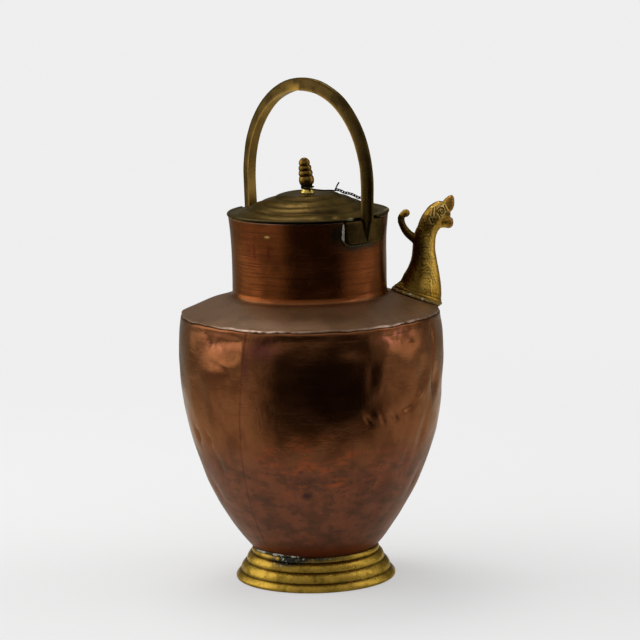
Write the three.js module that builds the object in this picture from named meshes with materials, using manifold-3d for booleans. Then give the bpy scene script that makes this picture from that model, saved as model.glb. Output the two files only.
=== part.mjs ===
// Copper jug with a cast brass foot, bow handle, bird-head spout and a lift-off lid.
// Millimetres, +Z up. The origin is on the ground at the axis of the body.
// The bow handle stands in the XZ plane; the spout is turned from +X towards +Y.

import * as THREE from 'three';
import { mergeVertices } from 'three/addons/utils/BufferGeometryUtils.js';
import Module from 'manifold-3d';

const wasm = await Module();
wasm.setup();

// Driving dimensions: stock and clearances
const sheet = 1.2;                // copper sheet of the body, shoulder and neck
const seat = 0.3;                 // clearance left where two pieces meet
const facets = 40;                // facets round the large turned pieces

// Driving dimensions: body
const bodyBaseR = 47.7;           // radius of the body where its bottom is turned in
const bodyBaseZ = 22;             // height of that bottom above the ground
const bellyR = 118.2;             // widest radius
const bellyZ = 210;               // height of the widest point
const bellyFullness = 2.14;       // how fast the outline swells from the base
const bellySharpness = 0.844;     // how round it stays towards the belly
const creaseR = 114.8;            // radius of the lapped crease under the shoulder
const creaseZ = 241;              // height of the crease
const baseFlange = 7;             // width of the body's edge turned in under the bottom disc
const lapWidth = 8;               // width of the body's edge turned in under the shoulder
const discDish = 4;               // how far the bottom disc is pushed up in its middle

// Driving dimensions: shoulder and neck
const shoulderRise = 15;          // rise of the shoulder from the crease to the neck
const shoulderSag = 1.1;          // how far its middle stands above a straight cone
const neckR = 68.6;               // outer radius of the neck
const neckFillet = 4.5;           // radius of the bend from shoulder to neck
const neckTopZ = 327.4;           // height of the neck's top edge
const rimFlareWidth = 2.3;        // how far the flared rim stands out from the neck
const rimFlare = 34;              // height over which the rim flares
const spoutHoleR = 9;             // pouring hole through the shoulder

// Driving dimensions: foot
const footR = 71.8;               // radius of the foot on the ground
const footZ = 28.2;               // height of the foot's upper edge
const footWall = 3.4;             // wall of the casting
const footLip = 0.7;              // width of its upper edge beside the body
const footRestWidth = 5;          // width of the flat ring it stands on
const footGrip = 5;               // height over which it grips the body
const footFlangeEdge = 2.4;       // height of the flange's outer edge
// Share of the foot's widening and of its height at each groove, and the swell below it
const footGrooves = [[0, 1, 0.5], [0.06, 0.845, 1.5], [0.36, 0.57, 1.5], [0.71, 0.26, 0.6]];
const footSolderWidth = 3;        // solder bead between foot and body
const footSolderFrom = 240;       // angles between which that bead lies
const footSolderTo = 306;

// Driving dimensions: bow handle
const bowWidth = 9.5;             // width of the flat inner face
const bowRidge = 4.5;             // width of the outer ridge
const bowEdge = 1.8;              // thickness of the edge beside the flat face
const bowThickCrown = 11.4;       // thickness at the crown
const bowThickLeg = 9.8;          // thickness where a leg meets its lug
const bowRise = 109.6;            // inner crown above the neck's top edge
const bowStraight = 27.6;         // straight part of a leg above the neck's top edge
const bowSpread = 0.8;            // how far a leg leans out up to there
const bowSquareness = 2.09;       // exponent of the arch, 2 being an ellipse
const legInset = 1.4;             // how far a leg's inner face stands inside the rim
const lugThick = 2.2;             // thickness of the lug plate beyond the rim
const lugHalfAngle = 18.4;        // half of the plate's width round the neck, in degrees
const lugHeight = 19.6;           // height of the plate
const lugCorner = 6;              // radius of its lower corners
const lugSolderR = 1.4;           // radius of the solder bead along its edges

// Driving dimensions: lid
const lidSheet = 1.0;             // brass sheet of the lid
const brimOverhang = 1.1;         // brim beyond the rim
const beadR = 1.6;                // radius of the rolled edge
const brimWidth = 7.7;            // flat of the brim from the dome's foot to the bead's middle
const domeRise = 16.2;            // height of the dome above the brim
const notchHalfWidth = 14.7;      // half width of the brim's notch at each leg
const notchClearance = 2.1;       // clearance between the notch and a leg
const collarPlay = 1.2;           // running clearance of the locating collar in the neck
const collarDepth = 14;           // how far the collar reaches into the neck
const collarFlange = 3;           // its soldered flange under the brim
// Share of the dome's foot radius and of its rise at each groove, and the swell outside it
const domeRings = [[0.363, 1, 0], [0.48, 0.815, 0.7], [0.677, 0.53, 0.9], [0.823, 0.21, 1.1], [1, 0, 0.9]];

// Driving dimensions: finial, with its beads from the lowest up
const finialBaseR = 6.2;
const finialWaistR = 4.2;
const finialWaistZ = 5.4;         // height of the waist above the lid
const finialStemZ = 7.4;          // height where the first bead starts
const beadRadii = [6.75, 6.3, 5.75, 5.0];
const beadHeights = [7.2, 4.9, 4.4, 7.2];
const beadGroove = 1.5;           // depth of the grooves between beads
const tangR = 2;                  // riveted tang through the lid
const washerR = 6;
const washerThick = 1.2;
const rivetR = 3.3;               // peened end of the tang
const rivetThick = 1.2;
const finialLean = 6;             // the knob is bent over above its waist
const finialLeanTurn = 225;       // towards this direction, in degrees

// Driving dimensions: tie wire and chain
const tieWireR = 0.4;
const tieLoopR = 5.4;             // loose loops round the finial's waist
const tieTurns = 1.5;
const tiePitch = 1.5;
const linkWireR = 0.4;
const linkHalfLength = 1.8;       // to the middle of the wire
const linkHalfWidth = 1.15;
const linkCount = 12;
const chainStart = 26.2;          // distance of the first link from the axis
const chainTurn = 52;             // direction of the chain over the lid, in degrees

// Driving dimensions: spout
const spoutTurn = 55;             // direction of the spout from the bow's plane, in degrees
const spoutToeGap = 6.5;          // distance of its toe from the neck
const spoutOverhang = 3.6;        // how far its base hangs over the crease
const spoutHeelDrop = 1;          // how far it hangs below the crease there
const spoutBaseHalfWidth = 17.4;  // half of the base's width across
const spoutBand = 4;              // height of the raised band round its base
const spoutBandStep = 0.9;        // how far that band stands out
const spoutNeckHalf = 10.3;       // half of its neck from front to back
const spoutWall = 3.2;            // wall of the casting in its neck
const spoutSolderWidth = 1.4;     // solder round the base
const spoutRoot = 7;              // how far its drawn rings reach below the shoulder, then cut to it

const copper = { color: 0x6e3a24, roughness: 0.42, metalness: 0.85 };
const paleCopper = { color: 0x8a5238, roughness: 0.5, metalness: 0.8 };
const brass = { color: 0x8a6d2c, roughness: 0.4, metalness: 0.85 };
const darkBrass = { color: 0x5e4a22, roughness: 0.5, metalness: 0.8 };
const solder = { color: 0x6d6a60, roughness: 0.6, metalness: 0.6 };
const iron = { color: 0x1c1a1c, roughness: 0.65, metalness: 0.6 };
const verdigris = { color: 0x3a3d33, roughness: 0.75, metalness: 0.5 };

const radians = THREE.MathUtils.degToRad;
const jug = new THREE.Group();

// Closed meshes as solids and back

function closedMesh(geometry) {
  const plain = geometry.clone();
  plain.deleteAttribute('normal');
  plain.deleteAttribute('uv');
  const merged = mergeVertices(plain, 1e-4);
  const corners = merged.index.array;
  const kept = [];
  for (let i = 0; i < corners.length; i += 3) {
    const [a, b, c] = [corners[i], corners[i + 1], corners[i + 2]];
    if (a !== b && b !== c && c !== a) kept.push(a, b, c);
  }
  merged.setIndex(kept);
  return facingOut(merged);
}

function signedVolume(geometry) {
  const place = geometry.attributes.position;
  const corners = geometry.index.array;
  const [a, b, c] = [new THREE.Vector3(), new THREE.Vector3(), new THREE.Vector3()];
  let sum = 0;
  for (let i = 0; i < corners.length; i += 3) {
    a.fromBufferAttribute(place, corners[i]);
    b.fromBufferAttribute(place, corners[i + 1]);
    c.fromBufferAttribute(place, corners[i + 2]);
    sum += a.dot(b.cross(c)) / 6;
  }
  return sum;
}

function facingOut(geometry) {
  if (signedVolume(geometry) > 0) return geometry;
  const corners = Array.from(geometry.index.array);
  for (let i = 0; i < corners.length; i += 3) {
    [corners[i + 1], corners[i + 2]] = [corners[i + 2], corners[i + 1]];
  }
  geometry.setIndex(corners);
  return geometry;
}

function solidOf(geometry) {
  const closed = closedMesh(geometry);
  return new wasm.Manifold(new wasm.Mesh({
    numProp: 3,
    vertProperties: Float32Array.from(closed.attributes.position.array),
    triVerts: Uint32Array.from(closed.index.array),
  }));
}

function geometryOf(solid) {
  const mesh = solid.getMesh();
  const geometry = new THREE.BufferGeometry();
  geometry.setAttribute('position', new THREE.BufferAttribute(Float32Array.from(mesh.vertProperties), 3));
  geometry.setIndex(Array.from(mesh.triVerts));
  return geometry;
}

function piece(name, geometry, finish, parent = jug) {
  const closed = closedMesh(geometry);
  closed.computeVertexNormals();
  const mesh = new THREE.Mesh(closed, new THREE.MeshStandardMaterial(finish));
  mesh.name = name;
  parent.add(mesh);
  return mesh;
}

// Shapes

// Turns a profile of [radius, height] points round the Z axis
function turned(profile, sides = facets) {
  const lathe = new THREE.LatheGeometry(profile.map(([r, z]) => new THREE.Vector2(r, z)), sides);
  return lathe.rotateX(Math.PI / 2);
}

// A ring-shaped profile closes on itself
function turnedRing(profile, sides = facets) {
  return turned([...profile, profile[0]], sides);
}

// Joins rings of equally many points; the ends are closed, or joined when the rings run round
function loft(rings, { round = false } = {}) {
  const sides = rings[0].length;
  const points = rings.flat();
  const corners = [];
  const spans = round ? rings.length : rings.length - 1;
  for (let i = 0; i < spans; i++) {
    const near = i * sides;
    const far = ((i + 1) % rings.length) * sides;
    for (let j = 0; j < sides; j++) {
      const k = (j + 1) % sides;
      corners.push(near + j, near + k, far + k, near + j, far + k, far + j);
    }
  }
  if (!round) {
    for (const [start, ring, flip] of [[0, rings[0], true], [(rings.length - 1) * sides, rings.at(-1), false]]) {
      const middle = new THREE.Vector3();
      ring.forEach((p) => middle.add(p));
      points.push(middle.divideScalar(sides));
      for (let j = 0; j < sides; j++) {
        const [a, b] = [start + j, start + ((j + 1) % sides)];
        corners.push(points.length - 1, ...(flip ? [b, a] : [a, b]));
      }
    }
  }
  const geometry = new THREE.BufferGeometry();
  geometry.setAttribute('position', new THREE.Float32BufferAttribute(points.flatMap((p) => p.toArray()), 3));
  geometry.setIndex(corners);
  return geometry;
}

// Moves an open outline sideways by a distance, outwards for one drawn upwards
function offsetOutline(outline, distance) {
  return outline.map(([r, z], i) => {
    const [r0, z0] = outline[Math.max(i - 1, 0)];
    const [r1, z1] = outline[Math.min(i + 1, outline.length - 1)];
    const before = new THREE.Vector2(r - r0, z - z0);
    const after = new THREE.Vector2(r1 - r, z1 - z);
    if (i === 0) before.copy(after);
    if (i === outline.length - 1) after.copy(before);
    const normal = before.normalize().add(after.normalize());
    const miter = Math.min(2 / normal.length(), 2);
    normal.normalize().multiplyScalar(distance * miter);
    return [r + normal.y, z - normal.x];
  });
}

// A convex swell between two outline points, without its first point
function swell([r0, z0], [r1, z1], height, steps) {
  const length = Math.hypot(r1 - r0, z1 - z0);
  const across = [(z0 - z1) / length, (r1 - r0) / length];
  const points = [];
  for (let i = 1; i <= steps; i++) {
    const t = i / steps;
    const rise = height * 4 * t * (1 - t);
    points.push([r0 + (r1 - r0) * t + across[0] * rise, z0 + (z1 - z0) * t + across[1] * rise]);
  }
  return points;
}

function polar(r, degrees, z) {
  return new THREE.Vector3(r * Math.cos(radians(degrees)), r * Math.sin(radians(degrees)), z);
}

// Body, drawn upwards from its base to the crease

function bodyRadius(z) {
  if (z > bellyZ) {
    const t = (z - bellyZ) / (creaseZ - bellyZ);
    return bellyR - (bellyR - creaseR) * t ** 1.8;
  }
  const t = Math.max((z - bodyBaseZ) / (bellyZ - bodyBaseZ), 0);
  return bodyBaseR + (bellyR - bodyBaseR) * (1 - (1 - t) ** bellyFullness) ** bellySharpness;
}

function bodyOutline(steps) {
  const outline = [];
  for (let i = 0; i <= steps; i++) {
    const z = bodyBaseZ + (creaseZ - bodyBaseZ) * (i / steps) ** 1.25;
    outline.push([bodyRadius(z), z]);
  }
  return outline;
}

// Shoulder and neck, drawn from the crease up to the rim
const neckFootR = neckR + neckFillet * 0.9;
const neckFootZ = creaseZ + shoulderRise;
const rimR = neckR + rimFlareWidth;

function shoulderOutline(steps) {
  const middle = new THREE.Vector2((creaseR + neckFootR) / 2, (creaseZ + neckFootZ) / 2 + 2 * shoulderSag);
  const cone = new THREE.QuadraticBezierCurve(
    new THREE.Vector2(creaseR, creaseZ), middle, new THREE.Vector2(neckFootR, neckFootZ));
  return cone.getPoints(steps).map((p) => [p.x, p.y]);
}

function shoulderHeight(r) {
  const outline = shoulderOutline(12);
  for (let i = 1; i < outline.length; i++) {
    const [[r0, z0], [r1, z1]] = [outline[i - 1], outline[i]];
    if (r >= r1) return z0 + (z1 - z0) * ((r0 - r) / (r0 - r1));
  }
  return neckFootZ;
}

function neckOutline() {
  const bend = new THREE.QuadraticBezierCurve(
    new THREE.Vector2(neckFootR, neckFootZ),
    new THREE.Vector2(neckR, neckFootZ + 0.3 * neckFillet),
    new THREE.Vector2(neckR, neckFootZ + 1.3 * neckFillet));
  const flareZ = neckTopZ - rimFlare;
  return [
    ...bend.getPoints(4).slice(1).map((p) => [p.x, p.y]),
    [neckR, flareZ],
    [neckR + rimFlareWidth * 0.3, neckTopZ - rimFlare / 2],
    [rimR, neckTopZ],
  ];
}

// Outer radius of the neck at a height
function neckRadius(z) {
  const outline = neckOutline();
  const above = Math.max(outline.findIndex(([, height]) => height >= z), 1);
  const [[r0, z0], [r1, z1]] = [outline[above - 1], outline[above]];
  return r0 + (r1 - r0) * THREE.MathUtils.clamp((z - z0) / (z1 - z0), 0, 1);
}

function bodyWall() {
  const outer = bodyOutline(10);
  const bend = sheet + 2 * seat;
  outer[outer.length - 1] = [creaseR, creaseZ - bend];
  const lapR = creaseR - lapWidth;
  const lapZ = shoulderHeight(lapR) - bend;
  const inner = offsetOutline(outer, -sheet).reverse();
  inner[0] = [creaseR - sheet, creaseZ - bend - sheet];
  inner[inner.length - 1] = [inner.at(-1)[0], bodyBaseZ + sheet];
  return turnedRing([
    [bodyBaseR - baseFlange, bodyBaseZ],
    ...outer,
    [lapR, lapZ],
    [lapR, lapZ - sheet],
    ...inner,
    [bodyBaseR - baseFlange, bodyBaseZ + sheet],
  ]);
}

// The disc lies on the body's turned-in edge and is pushed up in its middle
function bottomDisc() {
  const edgeR = bodyBaseR - 2 * sheet - 2 * seat;
  const low = bodyBaseZ + sheet + seat;
  const flatR = bodyBaseR - baseFlange - 2;
  return turned([
    [0, low + discDish],
    [flatR * 0.6, low + discDish * 0.7],
    [flatR, low],
    [edgeR, low],
    [edgeR, low + sheet],
    [flatR, low + sheet],
    [flatR * 0.6, low + sheet + discDish * 0.7],
    [0, low + sheet + discDish],
  ]);
}

// Spout's place on the shoulder, in its own turned group: x runs outwards from the jug's axis
const spoutToeR = neckR + spoutToeGap;
const spoutHeelR = creaseR + spoutOverhang;
const spoutSeatR = (spoutToeR + spoutHeelR) / 2;
const spoutSeatZ = shoulderHeight(spoutSeatR);
const spoutPitch = Math.atan2(shoulderHeight(spoutToeR) - creaseZ, creaseR - spoutToeR);

function shoulderNeck() {
  const outer = [...shoulderOutline(5), ...neckOutline()];
  const inner = offsetOutline(outer, -sheet).reverse();
  inner[0] = [rimR - sheet, neckTopZ];
  inner[inner.length - 1] = [creaseR - seat, creaseZ - sheet];
  const shell = solidOf(turnedRing([...outer, ...inner]));
  const drill = new THREE.CylinderGeometry(spoutHoleR, spoutHoleR, 40, 24).rotateX(Math.PI / 2);
  drill.rotateY(spoutPitch);
  drill.translate(spoutSeatR, 0, spoutSeatZ);
  drill.rotateZ(radians(spoutTurn));
  return geometryOf(shell.subtract(solidOf(drill)));
}

// The outside of the copperwork as a solid core, grown by a clearance, for cutting what sits on it
function copperCore(clearance) {
  const outline = [...bodyOutline(10), ...shoulderOutline(5).slice(1), ...neckOutline()];
  const grown = offsetOutline(outline, clearance);
  const top = grown.at(-1)[1] + clearance;
  return solidOf(turned([[0, bodyBaseZ], ...grown, [grown.at(-1)[0], top], [0, top]]));
}

// Foot: three swelling steps above a flange, hollow underneath, gripping the body's lower end
function footRing() {
  const grip = (z) => bodyRadius(z) + seat + 0.15;
  const topR = grip(footZ) + footLip;
  const grooves = footGrooves.map(([share, height]) => [topR + (footR - topR) * share, footZ * height]);
  const ends = [...grooves, [footR, footFlangeEdge]];
  const outer = [grooves[0]];
  footGrooves.forEach(([, , bulge], i) => outer.push(...swell(ends[i], ends[i + 1], -bulge, 3)));
  outer.push([footR, 1], [footR - 1, 0]);
  const gripZ = footZ - footGrip;
  const restR = footR - 1 - footRestWidth;
  return turnedRing([
    [grip(footZ), footZ],
    ...outer,
    [restR, 0],
    [restR - 0.5, footFlangeEdge],
    [grooves[3][0] - footWall - 1, grooves[3][1]],
    [grooves[2][0] - footWall, grooves[2][1]],
    [grooves[1][0] - footWall, grooves[1][1] - footWall],
    [grip(gripZ), gripZ - footWall / 2],
    [grip(gripZ), gripZ],
  ]);
}

// Solder run along part of the joint between foot and body, thinning out at both ends
function footSolder() {
  const steps = 10;
  const rings = [];
  for (let i = 0; i <= steps; i++) {
    const t = i / steps;
    const size = footSolderWidth * (0.25 + 0.75 * Math.sin(Math.PI * t) ** 0.6);
    const angle = footSolderFrom + (footSolderTo - footSolderFrom) * t;
    const low = footZ + seat;
    const inner = bodyRadius(low) + 2 * seat;
    rings.push([
      polar(inner, angle, low),
      polar(inner + size * 0.7, angle, low),
      polar(inner + size * 0.75, angle, low + size * 0.35),
      polar(bodyRadius(low + size) + 2 * seat, angle, low + size),
    ]);
  }
  return loft(rings);
}

// Bow handle: one casting of a ridged bow and two lug plates curved to the neck
const legR = rimR - legInset;
const lugR = rimR + lugThick;

// Inner face of the bow at a share of the arch from the front leg to the crown and on
function archPoint(turn) {
  const power = 2 / bowSquareness;
  const rise = bowRise - bowStraight;
  const x = (legR + bowSpread) * Math.sign(Math.cos(turn)) * Math.abs(Math.cos(turn)) ** power;
  return new THREE.Vector2(x, neckTopZ + bowStraight + rise * Math.abs(Math.sin(turn)) ** power);
}

// Section of the bow at a point, its flat face inwards
function bowSection(point, outward, width, ridge, edge, thick) {
  const corner = (across, out) => new THREE.Vector3(
    point.x + outward.x * out, across, point.y + outward.y * out);
  return [
    corner(-width / 2, 0), corner(width / 2, 0), corner(width / 2, edge),
    corner(ridge / 2, thick), corner(-ridge / 2, thick), corner(-width / 2, edge),
  ];
}

function bowHandle() {
  const sections = [];
  // Below the rim the ridge thins out on the plate and ends in a point near its foot
  const rootDepth = lugHeight - 1;
  const onPlate = (share) => {
    const thick = THREE.MathUtils.lerp(lugR - legR + 0.5, bowThickLeg, share);
    const width = THREE.MathUtils.lerp(1.5, bowWidth, share);
    const point = new THREE.Vector2(legR, neckTopZ - rootDepth * (1 - share));
    return bowSection(point, new THREE.Vector2(1, 0), width, Math.min(bowRidge, width * 0.6), bowEdge, thick);
  };
  sections.push(onPlate(0), onPlate(0.35), onPlate(0.7), onPlate(1));
  const steps = 36;
  for (let i = 0; i <= steps; i++) {
    const turn = Math.PI * i / steps;
    const point = archPoint(turn);
    const ahead = archPoint(Math.min(turn + 0.01, Math.PI));
    const behind = archPoint(Math.max(turn - 0.01, 0));
    const along = ahead.sub(behind).normalize();
    const thick = THREE.MathUtils.lerp(bowThickLeg, bowThickCrown, Math.sin(turn));
    sections.push(bowSection(point, new THREE.Vector2(along.y, -along.x), bowWidth, bowRidge, bowEdge, thick));
  }
  const mirrored = (section) => section.map((p) => new THREE.Vector3(-p.x, p.y, p.z));
  sections.push(...[1, 0.7, 0.35, 0].map((share) => mirrored(onPlate(share))));
  const bow = solidOf(loft(sections));
  const neck = copperCore(seat);
  return geometryOf(bow.add(lugPlate(0)).add(lugPlate(180)).subtract(neck));
}

// Plate curved round the neck, with its lower corners rounded
function lugPlate(angle) {
  const half = radians(lugHalfAngle);
  const sector = new THREE.Shape();
  sector.absarc(0, 0, lugR, -half, half, false);
  sector.absarc(0, 0, neckR - sheet, half, -half, true);
  const curved = new THREE.ExtrudeGeometry(sector, { depth: lugHeight, bevelEnabled: false, curveSegments: 8 });
  curved.translate(0, 0, neckTopZ - lugHeight);
  const wide = lugR * Math.sin(half) + 1;
  const outline = new THREE.Shape();
  const low = neckTopZ - lugHeight;
  outline.moveTo(wide - 1, neckTopZ);
  outline.lineTo(-wide + 1, neckTopZ);
  outline.lineTo(-wide + 1, low + lugCorner);
  outline.absarc(-wide + 1 + lugCorner, low + lugCorner, lugCorner, Math.PI, 1.5 * Math.PI, false);
  outline.absarc(wide - 1 - lugCorner, low + lugCorner, lugCorner, 1.5 * Math.PI, 2 * Math.PI, false);
  const punch = new THREE.ExtrudeGeometry(outline, { depth: 2 * lugR, bevelEnabled: false, curveSegments: 4 });
  punch.applyMatrix4(new THREE.Matrix4().set(0, 0, 1, 0, 1, 0, 0, 0, 0, 1, 0, 0, 0, 0, 0, 1));
  const plate = geometryOf(solidOf(curved).intersect(solidOf(punch)));
  return solidOf(plate.rotateZ(radians(angle)));
}

// Solder along the upright edge of a lug plate and under it, lying against the neck
function lugSolder(angle) {
  const edge = lugHalfAngle + THREE.MathUtils.radToDeg((lugSolderR + seat) / lugR);
  const low = neckTopZ - lugHeight - lugSolderR - seat;
  const corners = [
    [-edge, neckTopZ - 1.5], [-edge, neckTopZ - lugHeight * 0.5], [-edge, low + lugCorner + 1],
    [-edge + 2, low + 1.6], [-edge + 6, low - 0.1], [-edge * 0.4, low], [0, low], [edge * 0.35, low],
  ];
  const run = new THREE.CatmullRomCurve3(corners.map(([turn, z]) => polar(neckRadius(z) + lugSolderR * 0.7, turn, z)));
  const steps = 14;
  const rings = [];
  for (let i = 0; i <= steps; i++) {
    const point = run.getPoint(i / steps);
    const along = run.getTangent(i / steps);
    const out = new THREE.Vector3(point.x, point.y, 0).normalize();
    const side = new THREE.Vector3().crossVectors(along, out).normalize();
    const size = lugSolderR * (i === 0 || i === steps ? 0.5 : 1);
    rings.push([0, 60, 120, 180, 240, 300].map((turn) => point.clone()
      .addScaledVector(side, size * Math.cos(radians(turn)))
      .addScaledVector(out, size * Math.sin(radians(turn)))));
  }
  const bead = solidOf(loft(rings)).subtract(copperCore(seat)).subtract(grownLug());
  return geometryOf(bead).rotateZ(radians(angle));
}

// A lug plate grown by the clearance, for cutting its solder
function grownLug() {
  const grow = 1 + 2 * seat / lugHeight;
  const middle = neckTopZ - lugHeight / 2;
  const grown = geometryOf(lugPlate(0)).translate(-lugR, 0, -middle);
  grown.scale(1, grow, grow);
  return solidOf(grown.translate(lugR + seat, 0, middle));
}

// Lid: domed sheet with ring grooves, a flat brim with a rolled edge, notched at the legs
const brimR = rimR + brimOverhang;
const beadMidR = brimR - beadR;
const beadMidZ = neckTopZ + seat + beadR;
const domeFootR = beadMidR - brimWidth;
const brimZ = beadMidZ + beadR * 0.55;
const domeTopZ = brimZ + domeRise;

function domeOutline(steps) {
  const nodes = domeRings.map(([share, rise]) => [domeFootR * share, brimZ + domeRise * rise]);
  const outline = [nodes[0]];
  for (let i = 1; i < nodes.length; i++) {
    outline.push(...swell(nodes[i - 1], nodes[i], domeRings[i][2], steps));
  }
  return outline;
}

function lidHeight(r) {
  const outline = [[0, domeTopZ], ...domeOutline(6), [beadMidR, brimZ]];
  for (let i = 1; i < outline.length; i++) {
    const [[r0, z0], [r1, z1]] = [outline[i - 1], outline[i]];
    if (r <= r1) return z0 + (z1 - z0) * ((r - r0) / (r1 - r0));
  }
  return brimZ;
}

function lidShell() {
  const top = domeOutline(3);
  const under = domeOutline(1).map(([r, z]) => [r - 0.25, z - lidSheet * 1.1]).reverse();
  const bead = [];
  for (const turn of [70, 25, -20, -65, -110, -155]) {
    bead.push([beadMidR + beadR * Math.cos(radians(turn)), beadMidZ + beadR * Math.sin(radians(turn))]);
  }
  const shell = solidOf(turnedRing([
    [tangR + seat, domeTopZ],
    ...top,
    [beadMidR - beadR, brimZ],
    ...bead,
    [beadMidR - beadR, brimZ - lidSheet],
    ...under,
    [tangR + seat, domeTopZ - lidSheet * 1.1],
  ]));
  const depth = legR - notchClearance;
  const notch = new THREE.BoxGeometry(brimR, 2 * notchHalfWidth, 20);
  const front = notch.clone().translate(depth + brimR / 2, 0, brimZ);
  const rear = notch.clone().translate(-depth - brimR / 2, 0, brimZ);
  return geometryOf(shell.subtract(solidOf(front)).subtract(solidOf(rear)));
}

// Collar that locates the lid in the neck, with a flange under the brim
function lidCollar() {
  const outerR = neckR - sheet - collarPlay;
  const top = brimZ - lidSheet - seat;
  const low = neckTopZ - collarDepth;
  return turnedRing([
    [outerR, low],
    [outerR, top],
    [outerR - collarFlange, top],
    [outerR - collarFlange, top - lidSheet],
    [outerR - lidSheet, top - lidSheet],
    [outerR - lidSheet, low],
  ]);
}

// Finial with its tang, riveted over a washer under the lid
function finial() {
  const base = domeTopZ + seat;
  const rivetTop = domeTopZ - lidSheet * 1.1 - seat - washerThick - seat;
  const profile = [
    [0, rivetTop - rivetThick], [rivetR * 0.7, rivetTop - rivetThick], [rivetR, rivetTop],
    [tangR, rivetTop], [tangR, base], [finialBaseR, base], [finialBaseR * 0.97, base + 1.1],
    [finialWaistR + 0.5, base + finialWaistZ * 0.6], [finialWaistR, base + finialWaistZ],
  ];
  let foot = [finialWaistR + 0.4, base + finialStemZ];
  profile.push(foot);
  beadRadii.forEach((r, i) => {
    const last = i === beadRadii.length - 1;
    const top = foot[1] + beadHeights[i];
    if (last) {
      for (const turn of [-35, 0, 35, 65]) {
        const half = beadHeights[i] / 2;
        profile.push([r * Math.cos(radians(turn)), foot[1] + half + half * Math.sin(radians(turn))]);
      }
      profile.push([0, top]);
    } else {
      const next = [beadRadii[i + 1] - beadGroove + 0.4, top];
      const middle = (foot[1] + top) / 2;
      const rise = beadHeights[i] * 0.28;
      profile.push([r * 0.98, middle - rise], [r, middle], [r * 0.97, middle + rise], next);
      foot = next;
    }
  });
  return bent(turned(profile, 16), base + finialWaistZ - 1.4, finialLean, finialLeanTurn);
}

// Bends what stands above a height over towards a direction
function bent(geometry, height, degrees, towards) {
  const place = geometry.attributes.position;
  const axis = new THREE.Vector3(-Math.sin(radians(towards)), Math.cos(radians(towards)), 0);
  const point = new THREE.Vector3();
  for (let i = 0; i < place.count; i++) {
    point.fromBufferAttribute(place, i);
    const share = THREE.MathUtils.clamp((point.z - height) / 2, 0, 1);
    point.z -= height;
    point.applyAxisAngle(axis, radians(degrees) * share);
    place.setXYZ(i, point.x, point.y, point.z + height);
  }
  return geometry;
}

function finialWasher() {
  const top = domeTopZ - lidSheet * 1.1 - seat;
  return turnedRing([
    [tangR + seat, top - washerThick], [washerR, top - washerThick], [washerR, top], [tangR + seat, top],
  ], 16);
}

// Round wire along a curve
function wireAlong(curve, radius, steps, sides) {
  const section = new THREE.Shape();
  for (let i = 0; i < sides; i++) {
    const turn = 2 * Math.PI * i / sides;
    const corner = [radius * Math.cos(turn), radius * Math.sin(turn)];
    if (i === 0) section.moveTo(...corner);
    else section.lineTo(...corner);
  }
  return new THREE.ExtrudeGeometry(section, { steps, extrudePath: curve, bevelEnabled: false });
}

// Chain: oval links hooked through each other, lying down the dome from the finial's wire
const linkPitch = 2 * linkHalfLength - 2 * linkWireR - seat;

// Height of a link's middle so that it clears the swells and grooves under its whole length
function chainHeight(r) {
  const reach = linkHalfLength + linkWireR;
  let highest = 0;
  for (let i = -4; i <= 4; i++) highest = Math.max(highest, lidHeight(r + reach * i / 4));
  return highest + (linkHalfWidth + linkWireR) * Math.SQRT1_2 + linkWireR + seat;
}

// Places of the links' middles, a pitch apart along the chain
function chainPlaces() {
  const places = [new THREE.Vector2(chainStart, chainHeight(chainStart))];
  let r = chainStart;
  while (places.length < linkCount) {
    r += 0.05;
    const place = new THREE.Vector2(r, chainHeight(r));
    if (place.distanceTo(places.at(-1)) >= linkPitch) places.push(place);
  }
  return places;
}

function chainLink(place, along, roll) {
  const side = new THREE.Vector3(0, Math.cos(roll), 0)
    .addScaledVector(new THREE.Vector3(-along.y, 0, along.x), Math.sin(roll));
  const run = new THREE.Vector3(along.x, 0, along.y);
  const middle = new THREE.Vector3(place.x, 0, place.y);
  const up = new THREE.Vector3().crossVectors(run, side);
  const rings = [];
  for (let i = 0; i < 12; i++) {
    const turn = 2 * Math.PI * (i + 0.5) / 12;
    const [c, s] = [Math.cos(turn), Math.sin(turn)];
    const straight = (linkHalfLength - linkHalfWidth) * Math.sign(c);
    const point = middle.clone()
      .addScaledVector(run, straight + linkHalfWidth * c)
      .addScaledVector(side, linkHalfWidth * s);
    const out = new THREE.Vector3().addScaledVector(run, c).addScaledVector(side, s);
    rings.push([0, 90, 180, 270].map((a) => point.clone()
      .addScaledVector(out, linkWireR * Math.cos(radians(a)))
      .addScaledVector(up, linkWireR * Math.sin(radians(a)))));
  }
  return loft(rings, { round: true });
}

// One unbroken wire: loops round the finial's waist, runs over the lid, hooks the first link
// and ends in a free tail
function tieWireCurve() {
  const points = [];
  const waistZ = domeTopZ + seat + finialWaistZ - 0.6;
  const loopSteps = 18;
  for (let i = 0; i <= loopSteps; i++) {
    const turn = -90 - 360 * tieTurns * (1 - i / loopSteps);
    points.push(polar(tieLoopR, turn, waistZ + tiePitch * (0.8 - tieTurns * i / loopSteps)));
  }
  const link = chainHeight(chainStart);
  const lidTop = lidHeight(0);
  const hook = chainStart - linkHalfLength + linkWireR + tieWireR + seat;
  points.push(
    new THREE.Vector3(6.5, -4.7, lidTop + 3),
    new THREE.Vector3(13, -2, lidTop + 1.8),
    new THREE.Vector3(19, 1.2, lidTop + 1.2),
    new THREE.Vector3(23, 2.4, link - 0.9),
    new THREE.Vector3(hook - 0.2, 1.2, link - 1.0),
    new THREE.Vector3(hook, 0, link),
    new THREE.Vector3(hook - 0.4, -1.5, link + 1.3),
    new THREE.Vector3(hook + 0.1, -2, link + 3),
    new THREE.Vector3(hook + 1.3, -1.6, link + 4.9),
    new THREE.Vector3(hook + 2.6, -1, link + 6.6),
  );
  return new THREE.CatmullRomCurve3(points);
}

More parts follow.
